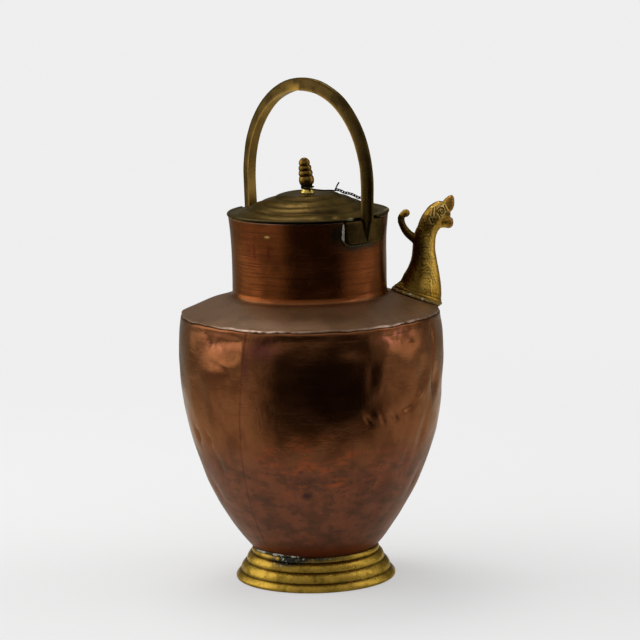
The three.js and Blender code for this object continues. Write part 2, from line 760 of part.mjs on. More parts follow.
// Least gap of a wire to itself, measured between points further apart along it than a few radii
function leastGap(curve, radius, count = 400) {
  const points = curve.getSpacedPoints(count);
  const apart = Math.ceil(4 * Math.PI * radius / (curve.getLength() / count));
  let least = Infinity;
  for (let i = 0; i < points.length; i++) {
    for (let j = i + apart; j < points.length; j++) least = Math.min(least, points[i].distanceTo(points[j]));
  }
  return least - 2 * radius;
}

// Spout: hollow casting of a bird's neck and head with an open beak and a curled crest.
// Its rings stand square to a line through the casting: x outwards, y up the jug, both from the
// middle of its seat on the shoulder; lean is the line's slope from upright, in degrees.

function ovalRing([x, z, lean, half, across], count, squareness = 2) {
  const [c, s] = [Math.cos(radians(lean)), Math.sin(radians(lean))];
  const ring = [];
  for (let i = 0; i < count; i++) {
    const turn = 2 * Math.PI * i / count;
    const [a, b] = [Math.cos(turn), Math.sin(turn)];
    const along = half * Math.sign(a) * Math.abs(a) ** (2 / squareness);
    const side = across * Math.sign(b) * Math.abs(b) ** (2 / squareness);
    ring.push(new THREE.Vector3(spoutSeatR + x + along * c, side, spoutSeatZ + z - along * s));
  }
  return ring;
}

const ovalLoft = (stations, count = 16) => solidOf(loft(stations.map((station) => ovalRing(station, count))));

const spoutLean = THREE.MathUtils.radToDeg(spoutPitch);
const spoutBaseHalf = (spoutHeelR - spoutToeR) / 2 / Math.cos(spoutPitch);

// Point a height above the shoulder, square to it, over the middle of the seat
function aboveSeat(height) {
  return [height * Math.sin(spoutPitch), height * Math.cos(spoutPitch), spoutLean];
}

function spoutOutside() {
  const neck = ovalLoft([
    [...aboveSeat(-spoutRoot), spoutBaseHalf, spoutBaseHalfWidth],
    [...aboveSeat(spoutBand), spoutBaseHalf - 0.4, spoutBaseHalfWidth - 0.4],
    [...aboveSeat(spoutBand + 0.9), spoutBaseHalf - 0.4 - spoutBandStep, spoutBaseHalfWidth - 0.4 - spoutBandStep],
    [4.2, 8.6, spoutLean, 19.6, 14.6],
    [5.3, 14.4, 17, 17.9, 12.8],
    [7.0, 24.6, 12, 14.3, 11.2],
    [7.4, 33, 6, 11.8, 10.4],
    [7.4, 42, 2, spoutNeckHalf + 0.1, 9.7],
    [7.8, 50, 4, spoutNeckHalf, 9.2],
    [9.1, 56, 10, 9.9, 8.9],
    [11.8, 62, 20, 9.6, 8.9],
    [15.2, 67.8, 34, 10.2, 9.2],
    [18.2, 72.4, 50, 10, 9.2],
    [22.2, 76, 66, 9.4, 8.4],
    [25, 76.6, 80, 9, 7.8],
    [28.4, 75.2, 88, 7.6, 7.2],
    [31.2, 73.8, 92, 4.2, 6.2],
  ]);
  const upperBeak = ovalLoft([
    [26.4, 75, 30, 4.6, 5.4],
    [29.4, 79.4, 20, 5.4, 5.6],
    [30.9, 84, 18, 5.3, 5.0],
    [32.8, 87.4, 22, 3.4, 3.7],
    [33.5, 89.2, 20, 1.9, 2.2],
    [33.7, 90.1, 20, 0.8, 1.0],
  ], 12);
  const lowerBeak = ovalLoft([
    [18, 66.5, 90, 7, 6.6],
    [24, 67.4, 92, 6.4, 6.8],
    [29, 66.9, 96, 6.2, 6.2],
    [32, 65.6, 103, 5.2, 5.2],
    [33.3, 64.3, 108, 3.4, 3.6],
    [34.1, 63.6, 110, 1.6, 1.8],
  ], 12);
  return neck.add(upperBeak).add(lowerBeak).add(crest());
}

// Crest: a round horn from the back of the neck, curling over to a ball at its tip
function crest() {
  const path = new THREE.CatmullRomCurve3([
    [2, 50.5], [-1.5, 53], [-5.9, 56.5], [-9.4, 61], [-12.1, 66.2], [-12.8, 70.3], [-12, 73.3], [-9.8, 75.4],
  ].map(([x, z]) => new THREE.Vector3(x, 0, z)));
  const steps = 9;
  const stations = [];
  for (let i = 0; i <= steps; i++) {
    const t = i / steps;
    const point = path.getPoint(t);
    const along = path.getTangent(t);
    const lean = THREE.MathUtils.radToDeg(Math.atan2(along.x, along.z));
    const half = 3.1 + 2 * (1 - t) ** 3;
    stations.push([point.x, point.z, lean, half, Math.min(half, 3.6)]);
  }
  const horn = ovalLoft(stations, 8);
  const ball = new THREE.SphereGeometry(3.7, 10, 6);
  const tip = path.getPoint(1);
  ball.translate(spoutSeatR + tip.x + 1.2, 0, spoutSeatZ + tip.z + 0.4);
  return horn.add(solidOf(ball));
}

// Bore from the open base up the neck and out between the beaks
function spoutBore() {
  const throat = spoutNeckHalf - spoutWall;
  return ovalLoft([
    [...aboveSeat(-spoutRoot - 2), spoutBaseHalf - 6, spoutBaseHalfWidth - 5],
    [...aboveSeat(3), spoutBaseHalf - 6, spoutBaseHalfWidth - 5],
    [6, 18, 15, throat + 5.3, 8.8],
    [7.2, 33, 6, throat + 1.5, throat],
    [7.6, 44, 2, throat - 0.2, throat - 0.8],
    [8.6, 54, 8, throat - 0.7, throat - 1.2],
    [11.2, 61.5, 22, throat - 1.3, throat - 1.5],
    [14.6, 67.3, 40, throat - 1.7, throat - 1.7],
    [19.6, 71.4, 62, 5.0, 5.0],
    [26, 73.2, 82, 4.2, 4.4],
    [31, 73.3, 90, 4.0, 4.2],
    [40, 73.2, 90, 6, 5],
  ], 12);
}

// Everything below a height round the jug
function spaceBelow(height) {
  const box = new THREE.BoxGeometry(4 * creaseR, 4 * creaseR, height);
  return solidOf(box.translate(0, 0, height / 2));
}

// Its heel reaches a little over the crease
function spout() {
  const cast = spoutOutside().subtract(spoutBore()).subtract(copperCore(seat));
  return geometryOf(cast.subtract(spaceBelow(creaseZ - spoutHeelDrop)));
}

// Ring of solder round the spout's base
function spoutSolder() {
  const wide = spoutSolderWidth;
  const fillet = ovalLoft([
    [...aboveSeat(-spoutRoot), spoutBaseHalf + wide, spoutBaseHalfWidth + wide],
    [...aboveSeat(0.8), spoutBaseHalf + wide, spoutBaseHalfWidth + wide],
    [...aboveSeat(2.6), spoutBaseHalf + 0.7, spoutBaseHalfWidth + 0.7],
  ]);
  const clear = ovalLoft([
    [...aboveSeat(-spoutRoot - 2), spoutBaseHalf + seat, spoutBaseHalfWidth + seat],
    [...aboveSeat(spoutBand + 2), spoutBaseHalf + seat, spoutBaseHalfWidth + seat],
  ]);
  const run = fillet.subtract(clear).subtract(copperCore(seat));
  return geometryOf(run.subtract(spaceBelow(creaseZ + seat)));
}

// Assembly

piece('body_wall', bodyWall(), copper);
piece('bottom_disc', bottomDisc(), copper);
piece('shoulder_neck', shoulderNeck(), paleCopper);
piece('foot_ring', footRing(), brass);
piece('foot_solder', footSolder(), solder);
piece('handle_bow', bowHandle(), darkBrass);
piece('front_lug_solder', lugSolder(0), solder);
piece('rear_lug_solder', lugSolder(180), solder);

const spoutGroup = new THREE.Group();
spoutGroup.rotation.z = radians(spoutTurn);
jug.add(spoutGroup);
piece('spout', spout(), brass, spoutGroup);
piece('spout_solder', spoutSolder(), solder, spoutGroup);

const lid = new THREE.Group();
jug.add(lid);
piece('lid_shell', lidShell(), darkBrass, lid);
piece('lid_collar', lidCollar(), darkBrass, lid);
piece('finial', finial(), brass, lid);
piece('finial_washer', finialWasher(), brass, lid);

const chain = new THREE.Group();
chain.rotation.z = radians(chainTurn);
lid.add(chain);
const tieCurve = tieWireCurve();
piece('tie_wire', wireAlong(tieCurve, tieWireR, 56, 5), iron, chain);
const places = chainPlaces();
places.forEach((place, i) => {
  const along = places[Math.min(i + 1, places.length - 1)].clone().sub(places[Math.max(i - 1, 0)]).normalize();
  const roll = radians(i % 2 === 0 ? 45 : -45);
  piece(`chain_link_${String(i + 1).padStart(2, '0')}`, chainLink(place, along, roll), verdigris, chain);
});
console.log(`tie wire: ${tieCurve.getLength().toFixed(1)} mm long, `
  + `least gap to itself ${leastGap(tieCurve, tieWireR).toFixed(2)} mm`);

export default jug;
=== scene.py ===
import math

import bpy
import numpy as np
from mathutils import Matrix, Vector


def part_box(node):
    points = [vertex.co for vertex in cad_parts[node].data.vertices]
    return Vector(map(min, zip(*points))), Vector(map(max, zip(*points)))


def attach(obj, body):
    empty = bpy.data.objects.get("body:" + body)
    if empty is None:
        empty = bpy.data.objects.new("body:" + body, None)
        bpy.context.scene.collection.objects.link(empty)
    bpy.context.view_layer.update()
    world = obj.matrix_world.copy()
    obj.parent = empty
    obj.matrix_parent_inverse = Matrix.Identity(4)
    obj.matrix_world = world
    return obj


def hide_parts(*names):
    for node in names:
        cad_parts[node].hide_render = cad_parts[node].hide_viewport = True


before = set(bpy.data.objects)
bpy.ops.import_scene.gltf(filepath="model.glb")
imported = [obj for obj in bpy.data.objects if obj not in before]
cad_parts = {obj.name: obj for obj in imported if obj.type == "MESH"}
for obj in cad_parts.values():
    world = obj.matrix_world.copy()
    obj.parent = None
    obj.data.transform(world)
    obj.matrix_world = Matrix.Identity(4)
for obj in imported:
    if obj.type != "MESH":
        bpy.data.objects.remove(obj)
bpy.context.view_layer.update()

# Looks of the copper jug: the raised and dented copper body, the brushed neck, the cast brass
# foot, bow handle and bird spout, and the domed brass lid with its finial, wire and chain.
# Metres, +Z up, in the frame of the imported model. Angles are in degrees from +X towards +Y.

mm = 0.001
FINE = 1.0       # share of the mesh density

# Sizes of the copperwork, which the brass is fitted to
SHEET = 1.2 * mm
SEAT = 0.3 * mm                          # left between pieces that meet
BODY_BASE_RADIUS = 47.7 * mm
BODY_BASE_HEIGHT = 22 * mm
BASE_FLANGE = 7 * mm                     # edge turned in under the bottom disc
BELLY_RADIUS = 118.1 * mm
BELLY_HEIGHT = 210 * mm
BELLY_FULLNESS = 2.14
BELLY_SHARPNESS = 0.844
CREASE_RADIUS = 114.8 * mm
CREASE_HEIGHT = 241 * mm
LAP_WIDTH = 8 * mm                       # edge turned in under the shoulder
SHOULDER_RISE = 15 * mm
SHOULDER_SAG = 1.1 * mm
SPOUT_HOLE_RADIUS = 9 * mm
NECK_RADIUS = 68.6 * mm
NECK_BEND = 4.5 * mm
NECK_TOP = 327.4 * mm
RIM_RADIUS = 70.9 * mm
RIM_FLARE = 34 * mm


# Meshes

def ring_quads(rows, sides, closed):
    """Faces between rings of equally many points; closed joins the last ring to the first."""
    row = np.arange(rows if closed else rows - 1)[:, None]
    side = np.arange(sides)[None, :]
    after = (side + 1) % sides
    above = (row + 1) % rows
    return np.stack([row * sides + side, row * sides + after,
                     above * sides + after, above * sides + side], -1).reshape(-1, 4)


def capped_faces(rows, sides):
    """Faces between rings, with a fan over each end from the two points that follow the rings."""
    count = rows * sides
    faces = ring_quads(rows, sides, False).tolist()
    for side in range(sides):
        after = (side + 1) % sides
        faces.append([count, after, side])
        faces.append([count + 1, count - sides + side, count - sides + after])
    return faces


def new_object(name, data):
    added = bpy.data.objects.new(name, data)
    bpy.context.collection.objects.link(added)
    return added


def make_mesh(name, points, faces, sharp=40):
    mesh = bpy.data.meshes.new(name)
    mesh.from_pydata(np.asarray(points, float).tolist(), [], [list(map(int, f)) for f in faces])
    mesh.validate()
    piece = new_object(name, mesh)
    smooth_shade(piece, sharp)
    mesh.update()
    return piece


def smooth_shade(piece, sharp):
    """Shades a piece smooth, apart from edges sharper than an angle."""
    piece.data.polygons.foreach_set("use_smooth", np.ones(len(piece.data.polygons), bool))
    piece.data.set_sharp_from_angle(angle=math.radians(sharp))


def loft(name, rings, sharp=40):
    """A closed skin over rings of equally many points, with fans over both ends."""
    rings = np.asarray(rings, float)
    rows, sides = rings.shape[:2]
    points = np.vstack([rings.reshape(-1, 3), rings[0].mean(0), rings[-1].mean(0)])
    return make_mesh(name, points, capped_faces(rows, sides), sharp)


def spun(name, profile, sides, shape=None, sharp=40):
    """Turns a closed profile of (radius, height) points, drawn anticlockwise, round the axis."""
    profile = np.asarray(profile, float)
    sides = int(sides * FINE)
    angle = np.arange(sides) * 2 * math.pi / sides
    radius = profile[:, 0][:, None]
    height = np.broadcast_to(profile[:, 1][:, None], (len(profile), sides))
    points = np.stack([radius * np.cos(angle), radius * np.sin(angle), height], -1).reshape(-1, 3)
    if shape:
        points = shape(points)
    on_axis = profile[0, 0] == 0 and profile[-1, 0] == 0
    if not on_axis:
        return make_mesh(name, points, ring_quads(len(profile), sides, True), sharp)
    points = np.vstack([points[sides:-sides], points[0], points[-1]])
    return make_mesh(name, points, capped_faces(len(profile) - 2, sides), sharp)


def bezier(start, control, end, steps):
    """Points on a curve of one control point, with both ends."""
    t = np.linspace(0, 1, steps + 1)[:, None]
    return (1 - t) ** 2 * np.array(start) + 2 * t * (1 - t) * np.array(control) + t ** 2 * np.array(end)


def swell(start, end, rise, steps=14):
    """A bulge between two outline points, without its first point."""
    start, end = np.array(start), np.array(end)
    along = end - start
    across = np.array([along[1], -along[0]]) / np.linalg.norm(along)
    t = np.linspace(0, 1, steps + 1)[1:, None]
    return start + along * t + across * rise * 4 * t * (1 - t)


def offset(line, distance):
    """Moves an outline sideways; a positive distance is to the right of its direction."""
    along = np.gradient(line, axis=0)
    along /= np.linalg.norm(along, axis=1)[:, None]
    return line + distance * np.stack([along[:, 1], -along[:, 0]], 1)


def smooth_rows(rows, steps):
    """Rows of numbers with smooth rows between them."""
    rows = np.asarray(rows, float)
    padded = np.vstack([2 * rows[0] - rows[1], rows, 2 * rows[-1] - rows[-2]])
    out = []
    for i in range(1, len(padded) - 2):
        a, b, c, d = padded[i - 1:i + 3]
        for k in range(steps):
            t = k / steps
            out.append(0.5 * (2 * b + (c - a) * t + (2 * a - 5 * b + 4 * c - d) * t ** 2
                              + (3 * b - a - 3 * c + d) * t ** 3))
    out.append(rows[-1])
    return np.array(out)


def ripples(points, wavelength, seed, waves=24):
    """A smooth uneven field over points, about -1 to 1, the same for the same seed; its
    wavelength is in mm."""
    rng = np.random.default_rng(seed)
    way = rng.normal(size=(waves, 3))
    way /= np.linalg.norm(way, axis=1)[:, None]
    pace = rng.uniform(0.75, 1.35, waves) * 2 * math.pi / (wavelength * mm)
    phase = rng.uniform(0, 2 * math.pi, waves)
    return np.sin(points @ (way * pace[:, None]).T + phase).sum(1) / math.sqrt(waves)


def step_up(value, low, high):
    """0 below low, 1 above high, smooth between."""
    t = np.clip((value - low) / (high - low), 0, 1)
    return t * t * (3 - 2 * t)


def step_down(value, low, high):
    """1 below low, 0 above high, smooth between."""
    return 1 - step_up(value, low, high)


def cos_sin(angle):
    turn = math.radians(angle)
    return math.cos(turn), math.sin(turn)


def bell(value, middle, width):
    """1 at the middle, falling off on both sides."""
    return np.exp(-((value - middle) / width) ** 2)


def round_place(points):
    """Angle in degrees, height and radius of each point about the jug's axis."""
    return (np.degrees(np.arctan2(points[:, 1], points[:, 0])), points[:, 2],
            np.hypot(points[:, 0], points[:, 1]))


def mark(place, at, up, half_width, half_height, tilt=0, flat=1):
    """How strongly each round place lies in an oval mark, 1 in its middle: its angle, then its
    height and half sizes in mm. A mark of flat 2 or more has an even middle and a steeper edge."""
    angle, height, radius = place
    turn = (angle - at + 180) % 360 - 180
    across = np.radians(turn) * radius
    rise = height - up * mm
    c, s = cos_sin(tilt)
    u, v = across * c + rise * s, rise * c - across * s
    return np.exp(-((u / (half_width * mm)) ** 2 + (v / (half_height * mm)) ** 2) ** flat)


def marks(place, *rows):
    """Several marks together, each with its strength before what mark takes."""
    return sum(strength * mark(place, *oval) for strength, *oval in rows)


def push_out(points, distance):
    """Moves points away from the jug's axis."""
    radius = np.hypot(points[:, 0], points[:, 1])
    share = (radius + distance) / np.maximum(radius, 1e-9)
    return np.column_stack([points[:, :2] * share[:, None], points[:, 2]])


def push_up(points, rise):
    return np.column_stack([points[:, :2], points[:, 2] + rise])


def paint(piece, name, values):
    """Keeps a value from 0 to 1 at each point of a piece, for its material."""
    layer = piece.data.attributes.new(name, "FLOAT", "POINT")
    layer.data.foreach_set("value", np.clip(values, 0, 1).astype(np.float32))


def points_of(piece):
    points = np.empty(len(piece.data.vertices) * 3)
    piece.data.vertices.foreach_get("co", points)
    return points.reshape(-1, 3)


def move_points(piece, points):
    piece.data.vertices.foreach_set("co", np.asarray(points, np.float32).ravel())
    piece.data.update()


def thicken(piece, points, distance):
    """Moves a piece's points along its normals, starting from given places."""
    normals = np.empty(len(piece.data.vertices) * 3)
    piece.data.vertex_normals.foreach_get("vector", normals)
    return points + normals.reshape(-1, 3) * distance[:, None]


def modifier(piece, name, kind, **settings):
    added = piece.modifiers.new(name, kind)
    for key, value in settings.items():
        setattr(added, key, value)


def modify(piece, kind, **settings):
    """Adds a modifier and keeps its result as the piece's mesh."""
    modifier(piece, kind.title(), kind, **settings)
    bpy.context.view_layer.update()
    evaluated = piece.evaluated_get(bpy.context.evaluated_depsgraph_get())
    mesh = bpy.data.meshes.new_from_object(evaluated)
    piece.modifiers.clear()
    old = piece.data
    piece.data = mesh
    bpy.data.meshes.remove(old)


def cut(piece, *cutters, operation="DIFFERENCE"):
    for cutter in cutters:
        modify(piece, "BOOLEAN", operation=operation, object=cutter, solver="EXACT")
        bpy.data.objects.remove(cutter)


def fuse(piece, *others):
    cut(piece, *others, operation="UNION")


def box_cutter(low, high):
    corners = [(x, y, z) for x in (low[0], high[0]) for y in (low[1], high[1]) for z in (low[2], high[2])]
    faces = [(0, 1, 3, 2), (4, 6, 7, 5), (0, 4, 5, 1), (2, 3, 7, 6), (0, 2, 6, 4), (1, 5, 7, 3)]
    return make_mesh("cutter", corners, faces)


# Outlines of the copperwork

NECK_FOOT = np.array([NECK_RADIUS + NECK_BEND * 0.9, CREASE_HEIGHT + SHOULDER_RISE])


def body_line(steps):
    height = np.linspace(BODY_BASE_HEIGHT, CREASE_HEIGHT, steps + 1)
    t = np.clip((height - BODY_BASE_HEIGHT) / (BELLY_HEIGHT - BODY_BASE_HEIGHT), 0, 1)
    fullness = (1 - (1 - t) ** BELLY_FULLNESS) ** BELLY_SHARPNESS
    below = BODY_BASE_RADIUS + (BELLY_RADIUS - BODY_BASE_RADIUS) * fullness
    over = np.clip((height - BELLY_HEIGHT) / (CREASE_HEIGHT - BELLY_HEIGHT), 0, 1)
    above = BELLY_RADIUS - (BELLY_RADIUS - CREASE_RADIUS) * over ** 1.8
    return np.stack([np.where(height > BELLY_HEIGHT, above, below), height], 1)


def shoulder_line(steps):
    middle = ((CREASE_RADIUS + NECK_FOOT[0]) / 2, (CREASE_HEIGHT + NECK_FOOT[1]) / 2 + 2 * SHOULDER_SAG)
    return bezier((CREASE_RADIUS, CREASE_HEIGHT), middle, NECK_FOOT, steps)


def shoulder_height(radius):
    line = shoulder_line(60)
    return float(np.interp(-radius, -line[:, 0], line[:, 1]))


def neck_line(steps):
    bend_top = (NECK_RADIUS, NECK_FOOT[1] + 1.3 * NECK_BEND)
    bend = bezier(NECK_FOOT, (NECK_RADIUS, NECK_FOOT[1] + 0.3 * NECK_BEND), bend_top, 10)[1:]
    height = np.linspace(bend_top[1], NECK_TOP, steps + 1)[1:]
    flare = np.clip((height - NECK_TOP + RIM_FLARE) / RIM_FLARE, 0, 1) ** 1.75
    return np.vstack([bend, np.stack([NECK_RADIUS + (RIM_RADIUS - NECK_RADIUS) * flare, height], 1)])


def copper_core(clearance):
    """The outside of the copperwork as a solid, grown by a clearance."""
    line = offset(np.vstack([body_line(60), shoulder_line(20)[1:], neck_line(20)]), clearance)
    top = line[-1][1] + clearance
    return spun("core", [(0, BODY_BASE_HEIGHT), *line, (line[-1][0], top), (0, top)], 200)


# Body: raised from sheet, hammered and dented

# Dents: angle, height, half width, half height, depth, tilt of the oval, flatness of its middle
BODY_DENTS = [
    (-88, 220, 24, 15, 1.1, 8, 2), (-92, 225, 7, 6, 0.9, 0, 1), (-80, 230, 11, 4, 0.9, 6, 1),
    (-84, 209, 9, 3, -0.5, -12, 1), (-64, 229, 12, 7, 0.8, 0, 1), (-75, 222, 3, 9, -0.4, 15, 1),
    (-103, 194, 10, 30, 0.9, 5, 1), (-111, 139, 3.5, 6, 1.5, 15, 1), (-101, 138, 3, 6.5, 1.2, 20, 1),
    (-97, 118, 4, 9, 0.8, 12, 1), (-112, 90, 6, 12, 0.9, 12, 1), (-45, 185, 34, 30, 0.7, 0, 1),
    (-4, 230, 16, 9, 1.3, 12, 2), (3, 222, 5, 5, 0.8, 0, 1), (-9, 226, 5, 4, -0.5, 0, 1),
    (-27, 222, 12, 8, 0.6, 0, 1), (-13, 204, 5, 15, -0.5, -14, 1), (-19, 198, 4, 13, 0.45, -10, 1),
    (-20, 161, 2.6, 6, 0.75, 35, 1), (-15.5, 163, 2.6, 5, -0.35, 35, 1), (-13, 160, 2.0, 4.5, 0.5, 35, 1),
    (-6, 160, 2.8, 6.5, 0.9, 38, 1), (-1.5, 163, 2.8, 6, -0.4, 38, 1), (1, 168, 10, 5, 1.2, 25, 1),
    (8, 174, 6, 3, -0.6, 25, 1), (21, 205, 2.4, 21, 1.6, 2, 1), (12, 196, 8, 18, 0.7, 0, 1),
    (24, 183, 9, 11, 1.4, 0, 1), (15, 140, 5, 18, 0.9, -12, 1), (5, 118, 5, 12, 0.7, -18, 1),
    (22, 92, 6, 12, 0.8, -10, 1), (-8, 74, 6, 8, 0.6, -25, 1), (60, 178, 20, 14, 0.9, 30, 1),
    (95, 138, 9, 12, 1.1, 10, 1), (130, 208, 16, 10, 0.9, 0, 2), (170, 168, 12, 20, 1.0, 15, 1),
    (-150, 213, 14, 9, 0.9, 0, 2), (-165, 118, 10, 14, 1.0, 40, 1), (150, 90, 9, 9, 0.8, 0, 1),
]
DENT_STRENGTH = 1.3 * mm                 # of a dent whose depth is 1
SHEET_SWELL = 0.42 * mm                  # slow swellings of the raised sheet
HAMMER_MARKS = 0.15 * mm
SHEET_GRAIN = 0.02 * mm
BATTERED_SIDE = (2, 200, 55, 45)         # where it was knocked most: angle, height, half sizes
FULLER_SIDE = (40, 134, 60, 30)          # where the belly bulges
FULLER_RISE = 1.5 * mm
CREASE_WAVES = ((3, 1.0, 1), (7, 0.4, 0.6), (17, 0, 0.5), (31, 2.0, 0.35))    # count, phase, share
CREASE_WAVE = 0.45 * mm                  # how far the crease wanders up and down round the body
# The two brazed seams: angle at the crease and change in degrees per metre going down
MAIN_SEAM = (-73.2, -63)
FAINT_SEAM = (-29.5, 26)
SEAM_DEPTH = 0.18 * mm
SEAM_WANDER = 0.4 * mm
# Stains and spots on the copper, a darker patch on the side that faces the camera, painted highlights
# just below the crease, and the zone that hands have rubbed: the strength of each mark, its angle and height,
# its half sizes in mm, and its tilt and flatness where it has them
BODY_STAINS_AND_HIGHLIGHTS = {
    # A darker patch on the side of the body that faces the camera, with a smaller one beside it
    "dark_front_patch": [(1, -37, 188, 33, 30, 0, 2), (0.5, -16, 168, 12, 10)],
    "spots": [(1, -48.8, 93, 4.0, 2.6, 0, 2), (1, -31, 56, 7, 0.7), (1, -51, 116, 1.3, 1.0),
              (1, -108, 160, 1.0, 1.3), (1, 2, 60, 1.2, 2.4, 30)],
    # Painted highlights just below the crease, at the front and on the left
    "crease_highlights": [(1, -6, 232, 16, 7), (1, -90, 228, 12, 7)],
    "purple": [(1, -66, 224, 15, 9), (0.7, -74, 205, 3, 14)],
}
RUBBED = [(1, -46, 121, 48, 29, 0, 2), (0.5, -2, 112, 30, 20), (0.3, 140, 120, 80, 30)]


def crease_wave(angle):
    turn = np.radians(angle)
    return CREASE_WAVE * sum(share * np.sin(count * turn + phase) for count, phase, share in CREASE_WAVES)


def body_unevenness(points):
    place = round_place(points)
    angle, height, radius = place
    loose = step_up(height, 32 * mm, 52 * mm)
    loose *= step_down(height, CREASE_HEIGHT - 9 * mm, CREASE_HEIGHT - 1.5 * mm)
    battered = 1 + 1.4 * mark(place, *BATTERED_SIDE)
    out = SHEET_SWELL * (ripples(points, 75, 3) - 1)
    out += HAMMER_MARKS * battered * ripples(points, 26, 8) + SHEET_GRAIN * ripples(points, 9, 5)
    for at, up, half_width, half_height, depth, tilt, flat in BODY_DENTS:
        out -= DENT_STRENGTH * depth * mark(place, at, up, half_width, half_height, tilt, flat)
    out += FULLER_RISE * mark(place, *FULLER_SIDE)
    # A swelling never reaches past the belly's widest radius
    room = BELLY_RADIUS - radius
    kept_in = room * (1 - np.exp(-np.maximum(out, 0) / np.maximum(room, 1e-6)))
    points = push_out(points, np.where(out > 0, kept_in, out) * loose)
    upper = step_up(height, CREASE_HEIGHT - 22 * mm, CREASE_HEIGHT - 4 * mm)
    return push_up(points, crease_wave(angle) * upper)


def seam_mark(points):
    """How strongly a point lies on the two seams that run down the body."""
    angle, height, radius = round_place(points)
    wander = SEAM_WANDER * ripples(points, 30, 21)

    def beside(at, drift):
        return np.abs(angle - at - drift * (CREASE_HEIGHT - height)) * np.pi / 180 * radius + wander

    main = step_down(beside(*MAIN_SEAM), 0.3 * mm, 1.3 * mm)
    faint = step_down(beside(*FAINT_SEAM), 0.2 * mm, 1.0 * mm) * step_down(height, 148 * mm, 158 * mm)
    return np.clip(main + 0.4 * faint, 0, 1)


def make_body():
    turn_in = SHEET + 2 * SEAT
    outer = body_line(int(230 * FINE))
    outer = outer[outer[:, 1] < CREASE_HEIGHT - turn_in - 0.4 * mm]
    lap_radius = CREASE_RADIUS - LAP_WIDTH
    lap_height = shoulder_height(lap_radius) - turn_in
    top = bezier(outer[-1], (CREASE_RADIUS + 0.2 * mm, CREASE_HEIGHT - turn_in),
                 (CREASE_RADIUS - 1.4 * mm, CREASE_HEIGHT - turn_in + 0.45 * mm), 5)[1:]
    outer = np.vstack([outer, top, [(lap_radius, lap_height)]])
    inner = offset(outer[:-2], -SHEET)[::-1]
    inner[-1] = (inner[-1][0], BODY_BASE_HEIGHT + SHEET)
    flange = BODY_BASE_RADIUS - BASE_FLANGE
    profile = np.vstack([[(flange, BODY_BASE_HEIGHT)], outer, [(lap_radius, lap_height - SHEET)], inner,
                         [(flange, BODY_BASE_HEIGHT + SHEET)]])
    piece = spun("copper_body", profile, 720, body_unevenness, sharp=50)
    points = points_of(piece)
    seam = seam_mark(points)
    points = push_out(points, -SEAM_DEPTH * seam)
    move_points(piece, points)
    place = round_place(points)
    paint(piece, "seam", seam)
    for name, rows in BODY_STAINS_AND_HIGHLIGHTS.items():
        paint(piece, name, marks(place, *rows))
    paint(piece, "rubbed", marks(place, *RUBBED) * np.clip(0.7 + 0.5 * ripples(points, 34, 23), 0, 1.3))
    return piece


# Shoulder and neck, one sheet lapped over the body; its cut edge is uneven

RAGGED_EDGE = 0.8 * mm                   # how far the cut edge wanders in
SHOULDER_DIP = 0.2 * mm
NECK_DIP = 0.1 * mm
# Stains on the neck, and where the lapped edge is worn bright and carries painted highlights: rows as for the
# body
NECK_STAINS = {
    "verdigris": [(1.3, -24, 317, 7, 10), (1, -10, 304.5, 13, 3.4), (1, 10, 305, 12, 3),
                  (1.2, 180, 306, 24, 5)],
    "drips": [(1, -88.7, 303, 1.0, 8), (1, -75.7, 302, 0.9, 7), (0.4, -93, 300, 4, 12)],
    "yellow": [(1, -76.2, 315.6, 2.6, 0.9, 0, 2)],
}
WORN_AND_LIT_EDGE = [(1, -70, 241, 32, 20), (0.8, -8, 241, 26, 20)]


def shoulder_unevenness(points):
    angle, height, radius = round_place(points)
    edge = step_up(radius, 110 * mm, 114.4 * mm)
    slope = step_down(height, 257 * mm, 264 * mm) * (1 - edge) * step_up(radius, 75 * mm, 81 * mm)
    lift = -SHOULDER_DIP * (1 + ripples(points, 34, 31)) * slope
    lift += crease_wave(angle) * step_up(radius, 96 * mm, 111 * mm)
    ragged = np.clip(0.5 + 0.5 * ripples(points, 17, 12), 0, 1.3) * RAGGED_EDGE
    wall = step_up(height, 262 * mm, 270 * mm) * step_down(height, 306 * mm, 322 * mm)
    points = push_out(points, -ragged * edge - NECK_DIP * (1 + ripples(points, 34, 41)) * wall)
    return push_up(points, lift)


def make_shoulder_and_neck():
    outer = np.vstack([shoulder_line(int(50 * FINE)), neck_line(int(80 * FINE))])
    inner = offset(outer, -SHEET)[::-1]
    inner[0] = (RIM_RADIUS - SHEET, NECK_TOP)
    inner[-1] = (CREASE_RADIUS - SEAT, CREASE_HEIGHT - SHEET)
    edge = [(CREASE_RADIUS + 0.05 * mm, CREASE_HEIGHT - 0.6 * SHEET)]
    piece = spun("copper_shoulder_and_neck", np.vstack([outer, inner, edge]), 640,
                 shoulder_unevenness, sharp=60)
    reach, hole = 20 * mm, SPOUT_HOLE_RADIUS
    drill = spun("drill", [(0, -reach), (hole, -reach), (hole, reach), (0, reach)], 32)
    drill.data.transform(spout_place() @ Matrix.Rotation(math.radians(SPOUT_LEAN), 4, "Y"))
    cut(piece, drill)
    smooth_shade(piece, 60)
    place = round_place(points_of(piece))
    for name, rows in NECK_STAINS.items():
        paint(piece, name, marks(place, *rows))
    # The lapped edge is worn a little all round and gets painted highlights on its left and front; the rim's
    # top edge gets a painted highlight
    worn = 0.15 + 0.85 * np.clip(marks(place, *WORN_AND_LIT_EDGE), 0, 1)
    paint(piece, "edge", step_up(place[2], 113.0 * mm, 114.3 * mm) * worn)
    paint(piece, "rim_highlight", step_up(place[1], NECK_TOP - 0.9 * mm, NECK_TOP - 0.3 * mm))
    return piece


# Foot: a cast and turned brass ring of a collar, two swells and a flange

